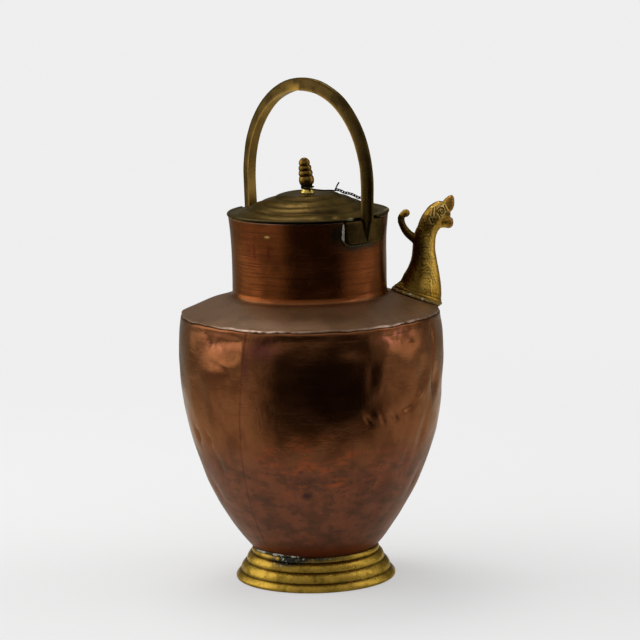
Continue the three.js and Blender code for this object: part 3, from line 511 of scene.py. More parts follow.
FOOT_RADIUS = 71.8 * mm
FOOT_HEIGHT = 28.2 * mm
FOOT_WALL = 3.4 * mm
FOOT_LIP = 0.7 * mm                      # upper edge beside the body
FOOT_GRIP = 5 * mm
FOOT_REST = 6 * mm                       # flat ring it stands on
FOOT_FLANGE_EDGE = 2.4 * mm
FOOT_UNEVENNESS = 0.12 * mm
FOOT_PITS = 0.35 * mm
FOOT_CHIP, CHIP_PLACE = 0.9 * mm, (-33, 12, 1.6, 2.0)           # how deep, and where as mark takes it
FOOT_BLOCK, BLOCK_PLACE = 0.5 * mm, (2, 12, 4.5, 2.6, 0, 3)     # a raised block on one swell
# Share of the widening and of the height at each groove, and the swell below it in mm
FOOT_SWELLS = [(0, 1, 0.5), (0.06, 0.845, 1.5), (0.36, 0.57, 1.5), (0.71, 0.26, 0.6)]
# Solder and dirt run over its upper edge: rows as for the body
FOOT_SMEARS = [(1, -73, 25, 17, 5, 0, 2), (0.9, -45, 27, 26, 2.6), (0.6, 150, 27, 26, 3)]


def foot_wear(points):
    """Casting pits, a chip and a raised block on the foot's skin."""
    place = round_place(points)
    skin = step_up(place[2], 53 * mm, 55 * mm) * step_up(place[1], 0.5 * mm, 3 * mm)
    pits = np.clip(ripples(points, 3.2, 71) - 1.1, 0, 1)
    dip = FOOT_UNEVENNESS * (1 + ripples(points, 14, 73)) + FOOT_PITS * pits
    dip += FOOT_CHIP * mark(place, *CHIP_PLACE)
    return push_out(points, (FOOT_BLOCK * mark(place, *BLOCK_PLACE) - dip) * skin)


def make_foot():
    line = body_line(400)

    def grip(height):
        return float(np.interp(height, line[:, 1], line[:, 0])) + SEAT + 0.15 * mm

    top = grip(FOOT_HEIGHT) + FOOT_LIP
    grooves = [(top + (FOOT_RADIUS - top) * share, FOOT_HEIGHT * height) for share, height, _ in FOOT_SWELLS]
    ends = [*grooves[1:], (FOOT_RADIUS, FOOT_FLANGE_EDGE)]
    outer = [np.array([grooves[0]])]
    for high, low, (_, _, rise) in zip(grooves, ends, FOOT_SWELLS):
        outer.append(swell(high, low, -rise * mm))
    outer.append(np.array([(FOOT_RADIUS - 0.2 * mm, 1.2 * mm), (FOOT_RADIUS - 0.6 * mm, 0.4 * mm),
                           (FOOT_RADIUS - 1.2 * mm, 0)]))
    rest = FOOT_RADIUS - FOOT_REST
    gripped = FOOT_HEIGHT - FOOT_GRIP
    _, first, second, third = grooves
    inner = [(rest, 0), (rest - 0.5 * mm, FOOT_FLANGE_EDGE), (third[0] - FOOT_WALL - 1 * mm, third[1]),
             (second[0] - FOOT_WALL, second[1]), (first[0] - FOOT_WALL, first[1] - FOOT_WALL),
             (grip(gripped), gripped - FOOT_WALL / 2), (grip(gripped), gripped),
             (grip(FOOT_HEIGHT), FOOT_HEIGHT)]
    piece = spun("brass_foot", np.vstack([*outer, inner])[::-1], 480, foot_wear, sharp=50)
    place = round_place(points_of(piece))
    height = place[1]
    depth = sum(bell(height, groove_height, 0.9 * mm) for _, groove_height in grooves[1:])
    depth += 0.7 * step_down(height, 0.6 * mm, 2.0 * mm)
    depth += 0.8 * step_up(height, FOOT_HEIGHT - 1.4 * mm, FOOT_HEIGHT - 0.2 * mm)
    paint(piece, "groove", depth)
    paint(piece, "verdigris", marks(place, *FOOT_SMEARS))
    return piece


# Bow handle: one casting, flat inside, rounded outside, with two plates curved to the neck

BOW_LEG_RADIUS = RIM_RADIUS - 1.4 * mm
BOW_SPREAD = 0.8 * mm
BOW_CROWN = NECK_TOP + 109.6 * mm
BOW_SPRING = NECK_TOP + 27.6 * mm
BOW_SQUARENESS = 2.09
BOW_WIDTH = 9.5 * mm
BOW_ROUNDNESS = 0.88                     # 1 is a plain half oval, less is squarer
BOW_THICK_LEG, BOW_THICK_CROWN = 9.8 * mm, 11.4 * mm
BOW_OVER_RIM = 2.0 * mm                  # how far a leg stands off its inner face beside the plate
LUG_RADIUS = RIM_RADIUS + 2.2 * mm
LUG_HALF_ANGLE = 18.4
LUG_HEIGHT = 19.6 * mm
LUG_CORNER = 6 * mm
LUG_BEVEL = 0.6 * mm
BOW_UNEVENNESS = 0.12 * mm
BOW_GRAIN = 0.03 * mm
NICK_PLACE = -1.5 * mm                   # of the nick at the casting's seam, from the crown


def bow_section(width, thick):
    """Across and outward places round the bow's section."""
    turn = np.linspace(0, math.pi, 25)
    across = width / 2 * np.sign(np.cos(turn)) * np.abs(np.cos(turn)) ** BOW_ROUNDNESS
    return np.stack([across, thick * np.sin(turn) ** BOW_ROUNDNESS], 1)


def bow_ring(point, outward, section):
    across, out = section[:, 0], section[:, 1]
    return np.stack([point[0] + outward[0] * out, across, point[1] + outward[1] * out], 1)


def bow_arch(turn):
    """The middle of the bow's inner face; turn is half a round from leg to leg."""
    power = 2 / BOW_SQUARENESS
    c, s = math.cos(turn), math.sin(turn)
    return np.array([(BOW_LEG_RADIUS + BOW_SPREAD) * math.copysign(abs(c) ** power, c),
                     BOW_SPRING + (BOW_CROWN - BOW_SPRING) * abs(s) ** power])


def leg_on_plate(share):
    """Section of the leg on its plate: 0 is its point near the foot, 1 the top."""
    thick = np.interp(share, [0, 1], [LUG_RADIUS - BOW_LEG_RADIUS + 0.5 * mm, BOW_THICK_LEG])
    width = np.interp(share ** 0.7, [0, 1], [1.5 * mm, BOW_WIDTH])
    height = NECK_TOP - (LUG_HEIGHT - 1 * mm) * (1 - share)
    return bow_ring((BOW_LEG_RADIUS + BOW_OVER_RIM, height), (1, 0), bow_section(width, thick - BOW_OVER_RIM))


def bow_rings():
    leg = [leg_on_plate(share) for share in (0, 0.08, 0.2, 0.35, 0.6, 0.85, 1)]
    leg.append(leg[-1] + [0, 0, 0.5 * mm])
    section = bow_section(BOW_WIDTH, BOW_THICK_LEG)
    leg.append(bow_ring((BOW_LEG_RADIUS, NECK_TOP + 0.55 * mm), (1, 0), section))
    for height in np.linspace(NECK_TOP + 4 * mm, BOW_SPRING - 3 * mm, 5):
        spread = BOW_SPREAD * (height - NECK_TOP) / (BOW_SPRING - NECK_TOP)
        leg.append(bow_ring((BOW_LEG_RADIUS + spread, height), (1, 0), section))
    rings = list(leg)
    for turn in np.linspace(0, math.pi, int(120 * FINE) + 1):
        along = bow_arch(min(turn + 0.01, math.pi)) - bow_arch(max(turn - 0.01, 0))
        along /= np.linalg.norm(along)
        section = bow_section(BOW_WIDTH, np.interp(math.sin(turn), [0, 1], [BOW_THICK_LEG, BOW_THICK_CROWN]))
        rings.append(bow_ring(bow_arch(turn), (along[1], -along[0]), section))
    return rings + [ring * [-1, 1, 1] for ring in reversed(leg)]


def lug_plate(turn):
    columns, rows = 48, 26
    low = NECK_TOP - LUG_HEIGHT
    half = math.radians(LUG_HALF_ANGLE) * LUG_RADIUS
    angle = np.empty((rows, columns))
    height = np.repeat(np.linspace(low, NECK_TOP, rows)[:, None], columns, 1)
    for i in range(rows):
        under = max(LUG_CORNER - (height[i, 0] - low), 0)
        reach = half - LUG_CORNER + math.sqrt(max(LUG_CORNER ** 2 - under ** 2, 0))
        angle[i] = np.linspace(-reach, reach, columns) / LUG_RADIUS
    line = neck_line(80)
    neck = np.interp(height, line[:, 1], line[:, 0]) + SEAT
    edge = np.minimum.reduce([np.abs(angle - angle[:, :1]) * LUG_RADIUS,
                              np.abs(angle - angle[:, -1:]) * LUG_RADIUS, height - low, NECK_TOP - height])

    def skin(radius):
        return np.stack([radius * np.cos(angle), radius * np.sin(angle), height], -1).reshape(-1, 3)

    points = np.vstack([skin(LUG_RADIUS - LUG_BEVEL * (1 - step_up(edge, 0, 1.2 * mm))), skin(neck)])
    count = rows * columns
    grid = np.arange(count).reshape(rows, columns)
    front = np.stack([grid[:-1, :-1], grid[:-1, 1:], grid[1:, 1:], grid[1:, :-1]], -1).reshape(-1, 4)
    faces = np.stack([front, count + front[:, ::-1]], 1).reshape(-1, 4).tolist()
    border = [*grid[0], *grid[1:, -1], *grid[-1, -2::-1], *grid[-2:0:-1, 0]]
    for a, b in zip(border, border[1:] + border[:1]):
        faces.append([count + a, count + b, b, a])
    plate = make_mesh("lug_plate", points, faces, 50)
    plate.data.transform(Matrix.Rotation(math.radians(turn), 4, "Z"))
    return plate


def make_handle():
    piece = loft("brass_bow_handle", bow_rings(), sharp=35)
    fuse(piece, lug_plate(0), lug_plate(180))
    points = points_of(piece)
    skin = step_up(points[:, 2], NECK_TOP, NECK_TOP + 8 * mm)
    wear = BOW_UNEVENNESS * (ripples(points, 24, 51) - 1) + BOW_GRAIN * ripples(points, 7, 52)
    points = thicken(piece, points, wear * skin)
    # The casting's seam at the crown: a nick in front and a small step beside it
    nick = bell(points[:, 0], NICK_PLACE, 0.8 * mm) * (points[:, 2] > BOW_CROWN - 3 * mm)
    under = (points[:, 1] < 0) * (points[:, 2] < BOW_CROWN + 4 * mm)
    points[:, 1] += 0.9 * mm * nick * under
    points[:, 2] -= 0.5 * mm * nick * (points[:, 2] > BOW_CROWN + 6 * mm)
    step = step_up(points[:, 0], 13.5 * mm, 15 * mm) * step_down(points[:, 0], 17 * mm, 20 * mm)
    points[:, 1] += 0.5 * mm * step * under * (points[:, 2] > BOW_CROWN - 6 * mm)
    move_points(piece, points)
    smooth_shade(piece, 35)
    x, y, z = points.T
    rise = np.maximum(z - BOW_SPRING, 0) / (BOW_CROWN - BOW_SPRING)
    reach = np.abs(x) / (BOW_LEG_RADIUS + BOW_SPREAD)
    out = BOW_LEG_RADIUS * ((reach ** BOW_SQUARENESS + rise ** BOW_SQUARENESS) ** (1 / BOW_SQUARENESS) - 1)
    paint(piece, "worn_edge", bell(np.abs(y), BOW_WIDTH / 2, 0.5 * mm) * bell(out, 0, 1.3 * mm) * skin)
    paint(piece, "seam", nick * under)
    gripped = step_up(x, -24 * mm, -6 * mm) * step_down(x, -4 * mm, -2 * mm)
    gripped *= step_down(z, BOW_CROWN + 1 * mm, BOW_CROWN + 8 * mm) * step_down(y, -4 * mm, -1 * mm)
    paint(piece, "gripped", gripped)
    return piece


# Spout: a cast bird's neck and head with an open beak and a curled crest. Its own plane has x
# outwards and z up from the middle of its seat on the shoulder; its own sizes are in mm

SPOUT_TURN = 55
SPOUT_TOE_RADIUS = NECK_RADIUS + 6.5 * mm
SPOUT_HEEL_RADIUS = CREASE_RADIUS + 3.6 * mm
SPOUT_HEEL_DROP = 1 * mm
SPOUT_SEAT_RADIUS = (SPOUT_TOE_RADIUS + SPOUT_HEEL_RADIUS) / 2
SPOUT_SEAT_HEIGHT = shoulder_height(SPOUT_SEAT_RADIUS)
SPOUT_LEAN = math.degrees(math.atan2(shoulder_height(SPOUT_TOE_RADIUS) - CREASE_HEIGHT,
                                     CREASE_RADIUS - SPOUT_TOE_RADIUS))
SPOUT_HALF_LENGTH = ((SPOUT_HEEL_RADIUS - SPOUT_TOE_RADIUS) / 2 / mm
                     / math.cos(math.radians(SPOUT_LEAN)))
SPOUT_HALF_WIDTH = 17.4
EYE = np.array([22.5, 77.1])
EYE_HALF = np.array([2.1, 2.8])
CARVED_LINES = [                         # incised lines of the brow and the feathers, each from and to
    ((15.4, 79.7), (13.7, 73.1)), ((17.6, 80.3), (16.8, 72.9)), ((22.9, 82.6), (18.4, 77.3)),
    ((18.4, 77.3), (21.3, 72.2)), ((25.6, 81.8), (27.0, 77.2)), ((12.4, 70.6), (13.6, 66.6)),
]
SPOUT_BASE = [(-7, 0), (0, 0.2), (3.4, 0.4), (4.2, 0.7), (4.9, 1.3)]      # height over the seat, inset
# Stations of the casting: x, z, lean from upright in degrees, half length, half width
NECK_STATIONS = [
    (4.2, 8.6, SPOUT_LEAN, 19.6, 14.6), (5.3, 14.4, 17, 17.9, 12.8), (7.0, 24.6, 12, 14.3, 11.2),
    (7.4, 33, 6, 11.8, 10.4), (7.4, 42, 2, 10.4, 9.7), (7.8, 50, 4, 10.3, 9.2), (9.1, 56, 10, 9.9, 8.9),
    (11.8, 62, 20, 9.6, 8.9), (15.2, 67.8, 34, 10.2, 9.2), (18.2, 72.4, 50, 10, 9.2),
    (22.2, 76, 66, 9.4, 8.4), (25, 76.6, 80, 9, 7.8), (28.4, 75.2, 88, 7.6, 7.2), (31.2, 73.8, 92, 4.2, 6.2),
]
UPPER_BEAK = [
    (25.4, 74.2, 32, 5.0, 5.6), (29.4, 79.4, 20, 5.4, 5.6), (30.9, 84, 18, 5.3, 5.0),
    (32.8, 87.4, 22, 3.4, 3.7), (33.5, 89.2, 20, 1.9, 2.2), (33.7, 90.1, 20, 0.8, 1.0),
]
LOWER_BEAK = [
    (18, 66.5, 90, 7, 6.6), (24, 67.4, 92, 6.4, 6.8), (29, 66.9, 96, 6.2, 6.2), (32, 65.6, 103, 5.2, 5.2),
    (33.3, 64.3, 108, 3.4, 3.6), (34.1, 63.6, 110, 1.6, 1.8),
]
BORE = [
    (6, 18, 15, 12.4, 8.8), (7.2, 33, 6, 8.6, 7.1), (7.6, 44, 2, 6.9, 6.3), (8.6, 54, 8, 6.4, 5.9),
    (11.2, 61.5, 22, 5.8, 5.6), (14.6, 67.3, 40, 5.4, 5.4), (19.6, 71.4, 62, 5, 5),
    (26, 73.2, 82, 4.2, 4.4), (31, 73.3, 90, 4.0, 4.2), (40, 73.2, 90, 6, 5),
]
CREST_PATH = [(2, 50.5), (-1.5, 53), (-5.9, 56.5), (-9.4, 61), (-12.1, 66.2), (-12.8, 70.3),
              (-12, 73.3), (-9.8, 75.4)]
CREST_BALL, CREST_BALL_PLACE = 3.7, (-8.6, 75.8)
EYE_RISE = 0.35
CARVED_DEPTH = 0.7
RIDGE_RISE = 0.35                        # of the casting's ridge down the neck's side
VOXEL = 0.45 * mm
# The neck for its paint: height and middle; height, half length and half width
NECK_MIDDLE = np.array([(0, 4), (14, 5.3), (24, 7), (33, 7.4), (50, 7.8), (56, 9.1), (62, 11.8), (68, 15.2),
                        (72, 18.2)])
NECK_GIRTH = np.array([(0, 23, 17), (14, 17.9, 12.8), (24, 14.3, 11.2), (33, 11.8, 10.4), (50, 10.3, 9.2),
                       (62, 9.6, 8.9), (72, 10, 9.2)])


def spout_place():
    """From the spout's own plane to the jug's frame."""
    return (Matrix.Rotation(math.radians(SPOUT_TURN), 4, "Z")
            @ Matrix.Translation((SPOUT_SEAT_RADIUS, 0, SPOUT_SEAT_HEIGHT)))


def oval_loft(name, stations, count=40, steps=5):
    turn = np.arange(count) * 2 * math.pi / count
    rings = []
    for x, z, lean, half, across in smooth_rows(stations, steps):
        along = half * np.cos(turn)
        c, s = cos_sin(lean)
        rings.append(np.stack([x + along * c, across * np.sin(turn), z - along * s], 1) * mm)
    return loft(name, rings)


def above_seat(height, inset, across_inset=None):
    """A station square to the shoulder, a height over it, drawn in from the base by an inset."""
    c, s = cos_sin(SPOUT_LEAN)
    return (height * s, height * c, SPOUT_LEAN, SPOUT_HALF_LENGTH - inset,
            SPOUT_HALF_WIDTH - (inset if across_inset is None else across_inset))


def height_over_seat(own):
    c, s = cos_sin(SPOUT_LEAN)
    return own[:, 0] * s + own[:, 2] * c


def crest():
    """The horn that curls up behind the head, in one piece with its ball."""
    path = smooth_rows(CREST_PATH, 3)
    along = np.gradient(path, axis=0)
    stations = []
    for i, ((x, z), (dx, dz)) in enumerate(zip(path, along)):
        half = 3.1 + 2 * (1 - i / (len(path) - 1)) ** 3
        stations.append((x, z, math.degrees(math.atan2(dx, dz)), half, min(half, 3.6)))
    horn = oval_loft("crest", stations, 24, 2)
    radius = CREST_BALL * mm
    side = [(radius * math.cos(turn), radius * math.sin(turn)) for turn in np.linspace(-1.3, 1.3, 12)]
    ball = spun("crest_ball", [(0, -radius), *side, (0, radius)], 48)
    ball.data.transform(Matrix.Translation((CREST_BALL_PLACE[0] * mm, 0, CREST_BALL_PLACE[1] * mm)))
    return horn, ball


def cheek(own):
    return step_up(np.abs(own[:, 1]), 2.5, 4.5)


def round_eye(own):
    """How far each point is from the eye's middle, 1 on its oval."""
    return np.linalg.norm((own[:, [0, 2]] - EYE) / EYE_HALF, axis=1)


def line_distances(own):
    """Each point's distance from each carved line."""
    places = own[:, [0, 2]]
    for start, end in np.array(CARVED_LINES):
        along = end - start
        t = np.clip(((places - start) @ along) / (along @ along), 0, 1)[:, None]
        yield np.linalg.norm(places - start - t * along, axis=1)


def carved_depth(own):
    """How deep each point lies in the incised lines and the eye's ring."""
    lines = [step_down(distance, 0.2, 0.85) for distance in line_distances(own)]
    oval = round_eye(own)
    return np.maximum.reduce([*lines, bell(oval, 1, 0.2), bell(oval, 0, 0.3)]) * cheek(own)


def eye_rings(own):
    """How strongly each point stands out in the raised rings round the eye."""
    oval = round_eye(own)
    return (bell(oval, 1.4, 0.25) + 0.8 * bell(oval, 0.62, 0.25)) * cheek(own)


def carve_bird(piece):
    points = points_of(piece)
    own = points / mm
    height = EYE_RISE * eye_rings(own) - CARVED_DEPTH * carved_depth(own)
    height += 0.1 * ripples(points, 9, 61) + 0.06 * ripples(points, 3, 62) - 0.1
    height += RIDGE_RISE * bell(own[:, 0], 10.4, 0.9) * step_down(own[:, 2], 13, 19) * (own[:, 1] < 0)
    base = step_up(height_over_seat(own), 3.5, 6)
    move_points(piece, thicken(piece, points, height * base * mm))


def paint_spout(piece):
    own = np.array([spout_place().inverted() @ Vector(p) for p in points_of(piece)]) / mm
    x, y, z = own.T
    over = height_over_seat(own)
    half, across = (np.interp(z, NECK_GIRTH[:, 0], NECK_GIRTH[:, column]) for column in (1, 2))
    along = (x - np.interp(z, *NECK_MIDDLE.T)) / half
    carved = carved_depth(own)
    beside = np.maximum.reduce([bell(distance, 1.3, 0.45) for distance in line_distances(own)])
    lips = step_up(x + 0.25 * (70 - z).clip(0, 10), 26.5, 31.5) * step_up(z, 56, 60)
    # Sides rubbed bright by hands, kept to the middle of the side so that they also stand as a painted
    # highlight
    handled = step_up(np.abs(y) / across, 0.45, 0.95) * step_up(z, 4, 14) * step_down(z, 54, 66)
    lines = bell(over, 5.2, 0.5) + 0.6 * bell(over, 8.4, 0.4) + 0.8 * bell(over, 1.3, 0.5)
    paint(piece, "carved", carved)
    paint(piece, "lips", lips)
    # Painted shade on the side of the spout's neck that faces the jug
    paint(piece, "back", step_down(along, -0.4, 0.25) * (z < 74))
    # Painted highlights on the raised rings round the eye and beside the carved lines
    paint(piece, "raised", eye_rings(own) + 0.8 * beside * (1 - carved))
    paint(piece, "head", step_up(z, 62, 74) * (1 - lips))
    paint(piece, "handled", handled * step_up(along, -0.35, 0.15))
    paint(piece, "band", lines * (z < 26))
    paint(piece, "front_face", step_up(x, 10.0, 10.9) * step_down(z, 12, 20))


def make_spout():
    foot = [above_seat(height, inset) for height, inset in SPOUT_BASE]
    piece = oval_loft("brass_spout", [*foot, *NECK_STATIONS])
    fuse(piece, oval_loft("upper_beak", UPPER_BEAK, 28), oval_loft("lower_beak", LOWER_BEAK, 28), *crest())
    modify(piece, "REMESH", mode="VOXEL", voxel_size=VOXEL)
    modify(piece, "SMOOTH", factor=0.5, iterations=6)
    carve_bird(piece)
    open_foot = [above_seat(-12, 6, 5), above_seat(0, 6, 5), above_seat(3, 6.2, 5.2)]
    cut(piece, oval_loft("bore", [*open_foot, *BORE], 28))
    piece.data.transform(spout_place())
    wide = 3 * CREASE_RADIUS
    below = box_cutter((-wide, -wide, 0), (wide, wide, CREASE_HEIGHT - SPOUT_HEEL_DROP))
    cut(piece, copper_core(SEAT), below)
    smooth_shade(piece, 50)
    paint_spout(piece)
    return piece


# Lid: domed sheet with grooves, notched brim and rolled edge

LID_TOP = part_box("lid_shell")[1].z
LID_SHEET = 1.0 * mm
LID_BRIM_RADIUS = RIM_RADIUS + 1.1 * mm
LID_BRIM_WIDTH = 7.7 * mm                # from the dome's foot to the bead's middle
LID_BEAD = 1.6 * mm
LID_FOOT = LID_BRIM_RADIUS - LID_BEAD - LID_BRIM_WIDTH
LID_BEAD_HEIGHT = NECK_TOP + SEAT + LID_BEAD
LID_BRIM_HEIGHT = LID_BEAD_HEIGHT + LID_BEAD * 0.55
NOTCH_HALF_WIDTH = 14.7 * mm
NOTCH_DEPTH_RADIUS = 67.4 * mm
FINIAL_DISH = 0.45 * mm                  # how far the sheet sinks round the finial's tang
TANG_HOLE = 2.3 * mm
# Knocks on the brim: a crumple on its left, a dent beside the front notch and lips bent up at both
# sides, each with its angle, its height and its half sizes in mm
CRUMPLE, DENT = (-116, 329, 9, 20), (-25, 329, 5, 20)
LIP, FAR_LIP = (-12, 329, 3.5, 20), (42, 329, 9, 20)
BRIGHT_SCRAPES = [(0.35, -14, 330, 3, 6), (0.7, 42, 331, 6, 6)]     # rows as for the body's stains
# Share of the foot's radius and of the rise at each groove, and the swell outside it in mm
DOME_RINGS = [(0.363, 1, 0.7), (0.48, 0.815, 0.9), (0.677, 0.53, 1.1), (0.823, 0.21, 0.9), (1, 0, 0)]


def lid_line():
    rise = LID_TOP - LID_BRIM_HEIGHT
    nodes = [(LID_FOOT * share, LID_BRIM_HEIGHT + rise * height) for share, height, _ in DOME_RINGS]
    line = [np.array([(TANG_HOLE + t * (nodes[0][0] - TANG_HOLE),
                       LID_TOP - FINIAL_DISH * math.cos(t * math.pi / 2) - 0.05 * mm)
                      for t in np.linspace(0, 1, 10)])]
    for low, high, (_, _, bulge) in zip(nodes, nodes[1:], DOME_RINGS):
        line.append(swell(low, high, -bulge * mm))
    return np.vstack(line)


def lid_unevenness(points):
    place = round_place(points)
    angle, height, radius = place
    brim = step_up(radius, 60 * mm, 66 * mm)
    crumple = mark(place, *CRUMPLE) * brim * np.sin(np.radians(angle) * 40)
    dent = mark(place, *DENT) * step_up(radius, 56 * mm, 60 * mm)
    lip = mark(place, *LIP) * step_up(radius, 64 * mm, 70 * mm)
    far_lip = mark(place, *FAR_LIP) * step_up(radius, 66 * mm, 71 * mm)
    sag = 0.26 * (ripples(points, 38, 81) * step_up(radius, 12 * mm, 22 * mm) - 1)
    sag += 1.2 * crumple - 1.1 * dent + 1.6 * lip + 1.8 * far_lip
    return push_up(points, sag * mm * (1 - 0.7 * brim))


def make_lid():
    top = lid_line()
    under = offset(top, LID_SHEET)[::-1]
    centre = LID_BRIM_RADIUS - LID_BEAD
    bead = [(centre + LID_BEAD * math.cos(t), LID_BEAD_HEIGHT + LID_BEAD * math.sin(t))
            for t in np.radians(np.linspace(80, -160, 18))]
    flat = bezier(top[-1], (LID_FOOT + 3 * mm, LID_BRIM_HEIGHT),
                  (centre - LID_BEAD * 0.6, LID_BRIM_HEIGHT), 6)[1:]
    below = [(centre - LID_BEAD * 1.05, LID_BRIM_HEIGHT - LID_SHEET)]
    piece = spun("brass_lid", np.vstack([top, flat, bead, below, under])[::-1], 480, lid_unevenness, sharp=60)
    for side in (1, -1):
        near, far = sorted((side * NOTCH_DEPTH_RADIUS, side * 80 * mm))
        cut(piece, box_cutter((near, -NOTCH_HALF_WIDTH, NECK_TOP - 9 * mm),
                              (far, NOTCH_HALF_WIDTH, NECK_TOP + 11 * mm)))
    smooth_shade(piece, 50)
    place = round_place(points_of(piece))
    angle, height, radius = place
    paint(piece, "groove", sum(bell(radius, LID_FOOT * share, 1.3 * mm) for share, _, _ in DOME_RINGS))
    paint(piece, "brim", step_up(radius, LID_FOOT, LID_FOOT + 3 * mm))
    paint(piece, "bright", marks(place, *BRIGHT_SCRAPES) * step_up(radius, 66 * mm, 69 * mm))
    # Painted shade, nearly black, on the underside of the brim's bead and the sheet below it
    underside = step_down(height, LID_BEAD_HEIGHT - 0.1 * mm, LID_BEAD_HEIGHT + 0.6 * mm)
    paint(piece, "underside", underside * step_up(radius, LID_FOOT + 2 * mm, LID_FOOT + 4 * mm))
    return piece


# Finial: turned beads on a flared base, bent over above the waist

FINIAL_BASE = LID_TOP + SEAT
FINIAL_LEAN, FINIAL_LEAN_TURN = 6, 225   # how far it is bent over, and towards where
FINIAL_BEND = 4 * mm                     # height of the bend above its base
FINIAL_STEM = 7.4 * mm                   # height where the first bead starts
BEADS = ((6.75, 7.2), (6.3, 4.9), (5.75, 4.4), (5.0, 7.2))     # radius and height in mm, from below
BEAD_HOLLOW = 0.12                       # how far the grooves between beads go in
# Tang, its riveted end and the flared base: radius and height over the base in mm
FINIAL_FOOT = [(0, -4.1), (2.4, -4.1), (3.3, -2.9), (2, -2.9), (2, 0), (6.2, 0), (6.15, 0.9)]


def bent_over(points):
    over = points[:, 2] - FINIAL_BASE - FINIAL_BEND
    lean = np.clip(over / (2 * mm), 0, 1) * math.radians(FINIAL_LEAN)
    towards = np.array(cos_sin(FINIAL_LEAN_TURN))
    along = points[:, :2] @ towards
    shift = (np.cos(lean) - 1) * along + np.sin(lean) * over
    height = np.cos(lean) * over - np.sin(lean) * along + FINIAL_BASE + FINIAL_BEND
    return np.column_stack([points[:, :2] + shift[:, None] * towards, height])


def make_finial():
    profile = [(radius * mm, FINIAL_BASE + height * mm) for radius, height in FINIAL_FOOT]
    waist = bezier(profile[-1], (4.5 * mm, FINIAL_BASE + 2 * mm), (4.2 * mm, FINIAL_BASE + 5.4 * mm), 8)
    profile += [tuple(point) for point in waist[1:]]
    profile += [(4.6 * mm, FINIAL_BASE + 6.0 * mm), (4.9 * mm, FINIAL_BASE + 6.8 * mm)]
    low = FINIAL_BASE + FINIAL_STEM
    lows = []
    for radius, tall in BEADS:
        last = (radius, tall) == BEADS[-1]
        for share in np.linspace(-1, 0.96 if last else 1, 15):
            over = (share + 0.45) / 1.45
            round_off = math.sqrt(1 - over ** 2) if last and over > 0 else 1 - BEAD_HOLLOW * share ** 2
            profile.append((radius * round_off * mm, low + tall * mm * (share + 1) / 2))
        low += tall * mm
        lows.append(low)
    profile.append((0, low))
    piece = spun("brass_finial", profile, 64, bent_over, sharp=50)
    height = points_of(piece)[:, 2]
    paint(piece, "groove", sum(bell(height, low, 0.7 * mm) for low in lows[:-1]))
    paint(piece, "bright", step_down(height, FINIAL_BASE + 3 * mm, FINIAL_BASE + 5.5 * mm))
    return piece


# Materials

class Shading:
    """Adds nodes to a tree so that a material reads in order."""

    def __init__(self, tree):
        self.tree = tree
        self.coordinates = None

    def add(self, kind, settings=None, **inputs):
        node = self.tree.nodes.new("ShaderNode" + kind)
        for key, value in (settings or {}).items():
            setattr(node, key, value)
        for key, value in inputs.items():
            self.put(node.inputs[key.replace("_", " ")], value)
        return node

    def put(self, socket, value):
        if isinstance(value, bpy.types.NodeSocket):
            self.tree.links.new(value, socket)
        else:
            socket.default_value = value

    def place(self):
        """Where a point lies in the jug's frame, in metres."""
        if self.coordinates is None:
            self.coordinates = self.add("TexCoord")
        return self.coordinates.outputs["Object"]

    def height(self):
        return self.add("SeparateXYZ", Vector=self.place()).outputs["Z"]

    def noise(self, scale, detail=4.0, rough=0.6, vector=None):
        """Noise of so many waves a metre."""
        vector = self.place() if vector is None else vector
        return self.add("TexNoise", Scale=scale, Detail=detail, Roughness=rough, Vector=vector).outputs["Fac"]

    def stretched(self, waves, detail, rough, shift=(0.0, 0.0, 0.0)):
        """Noise with its own number of waves a metre along each axis."""
        mapped = self.add("Mapping", Vector=self.place(), Scale=waves, Location=shift)
        return self.noise(1.0, detail, rough, mapped.outputs["Vector"])

    def spread(self, value, low, high, to_low=0.0, to_high=1.0):
        node = self.add("MapRange", {"interpolation_type": "SMOOTHSTEP"})
        for key, entry in (("Value", value), ("From Min", low), ("From Max", high),
                           ("To Min", to_low), ("To Max", to_high)):
            self.put(node.inputs[key], entry)
        return node.outputs["Result"]

    def math(self, operation, first, second):
        node = self.add("Math", {"operation": operation})
        self.put(node.inputs[0], first)
        self.put(node.inputs[1], second)
        return node.outputs["Value"]

    def times(self, first, second):
        return self.math("MULTIPLY", first, second)

    def plus(self, first, second):
        return self.math("ADD", first, second)

    def vector(self, operation, first, second=None):
        """The number that a vector operation gives."""
        node = self.add("VectorMath", {"operation": operation})
        self.put(node.inputs[0], first)
        if second is not None:
            self.put(node.inputs[1], second)
        return node.outputs["Value"]

    def mix(self, share, first, second):
        return self.add("MixRGB", Fac=share, Color1=first, Color2=second).outputs["Color"]

    def either(self, share, first, second):
        """One shader fading into another."""
        node = self.add("MixShader", Fac=share)
        self.put(node.inputs[1], first.outputs[0])
        self.put(node.inputs[2], second.outputs[0])
        return node

    def kept(self, name):
        """A value painted on the piece's points."""
        return self.add("Attribute", {"attribute_name": name}).outputs["Fac"]

    def coats(self, color, *rows):
        """Colours laid one over the other where values are painted on the piece: each row is the
        value's name, its share, the colour and, where one breaks it up, a mask."""
        for painted, share, coat, *broken in rows:
            cover = self.times(self.kept(painted), share)
            for mask in broken:
                cover = self.times(cover, mask)
            color = self.mix(cover, color, coat)
        return color

    def group(self, tree, **inputs):
        return self.add("Group", {"node_tree": tree}, **inputs).outputs

    def patina(self, bare, tarnish, deep, patch, amount, flecks):
        return self.group(PATINA, Bare=bare, Tarnish=tarnish, Deep=deep, Patch_Size=patch, Amount=amount,
                          Flecks=flecks)

    def fine_bump(self, grain, scratches=0.03):
        """Height in mm of the casting's or hammer's grain with scratches over it."""
        lines = self.group(SCRATCHES, Density=-scratches)["Height"]
        return self.plus(self.times(self.noise(650.0, 3.0), grain), lines)


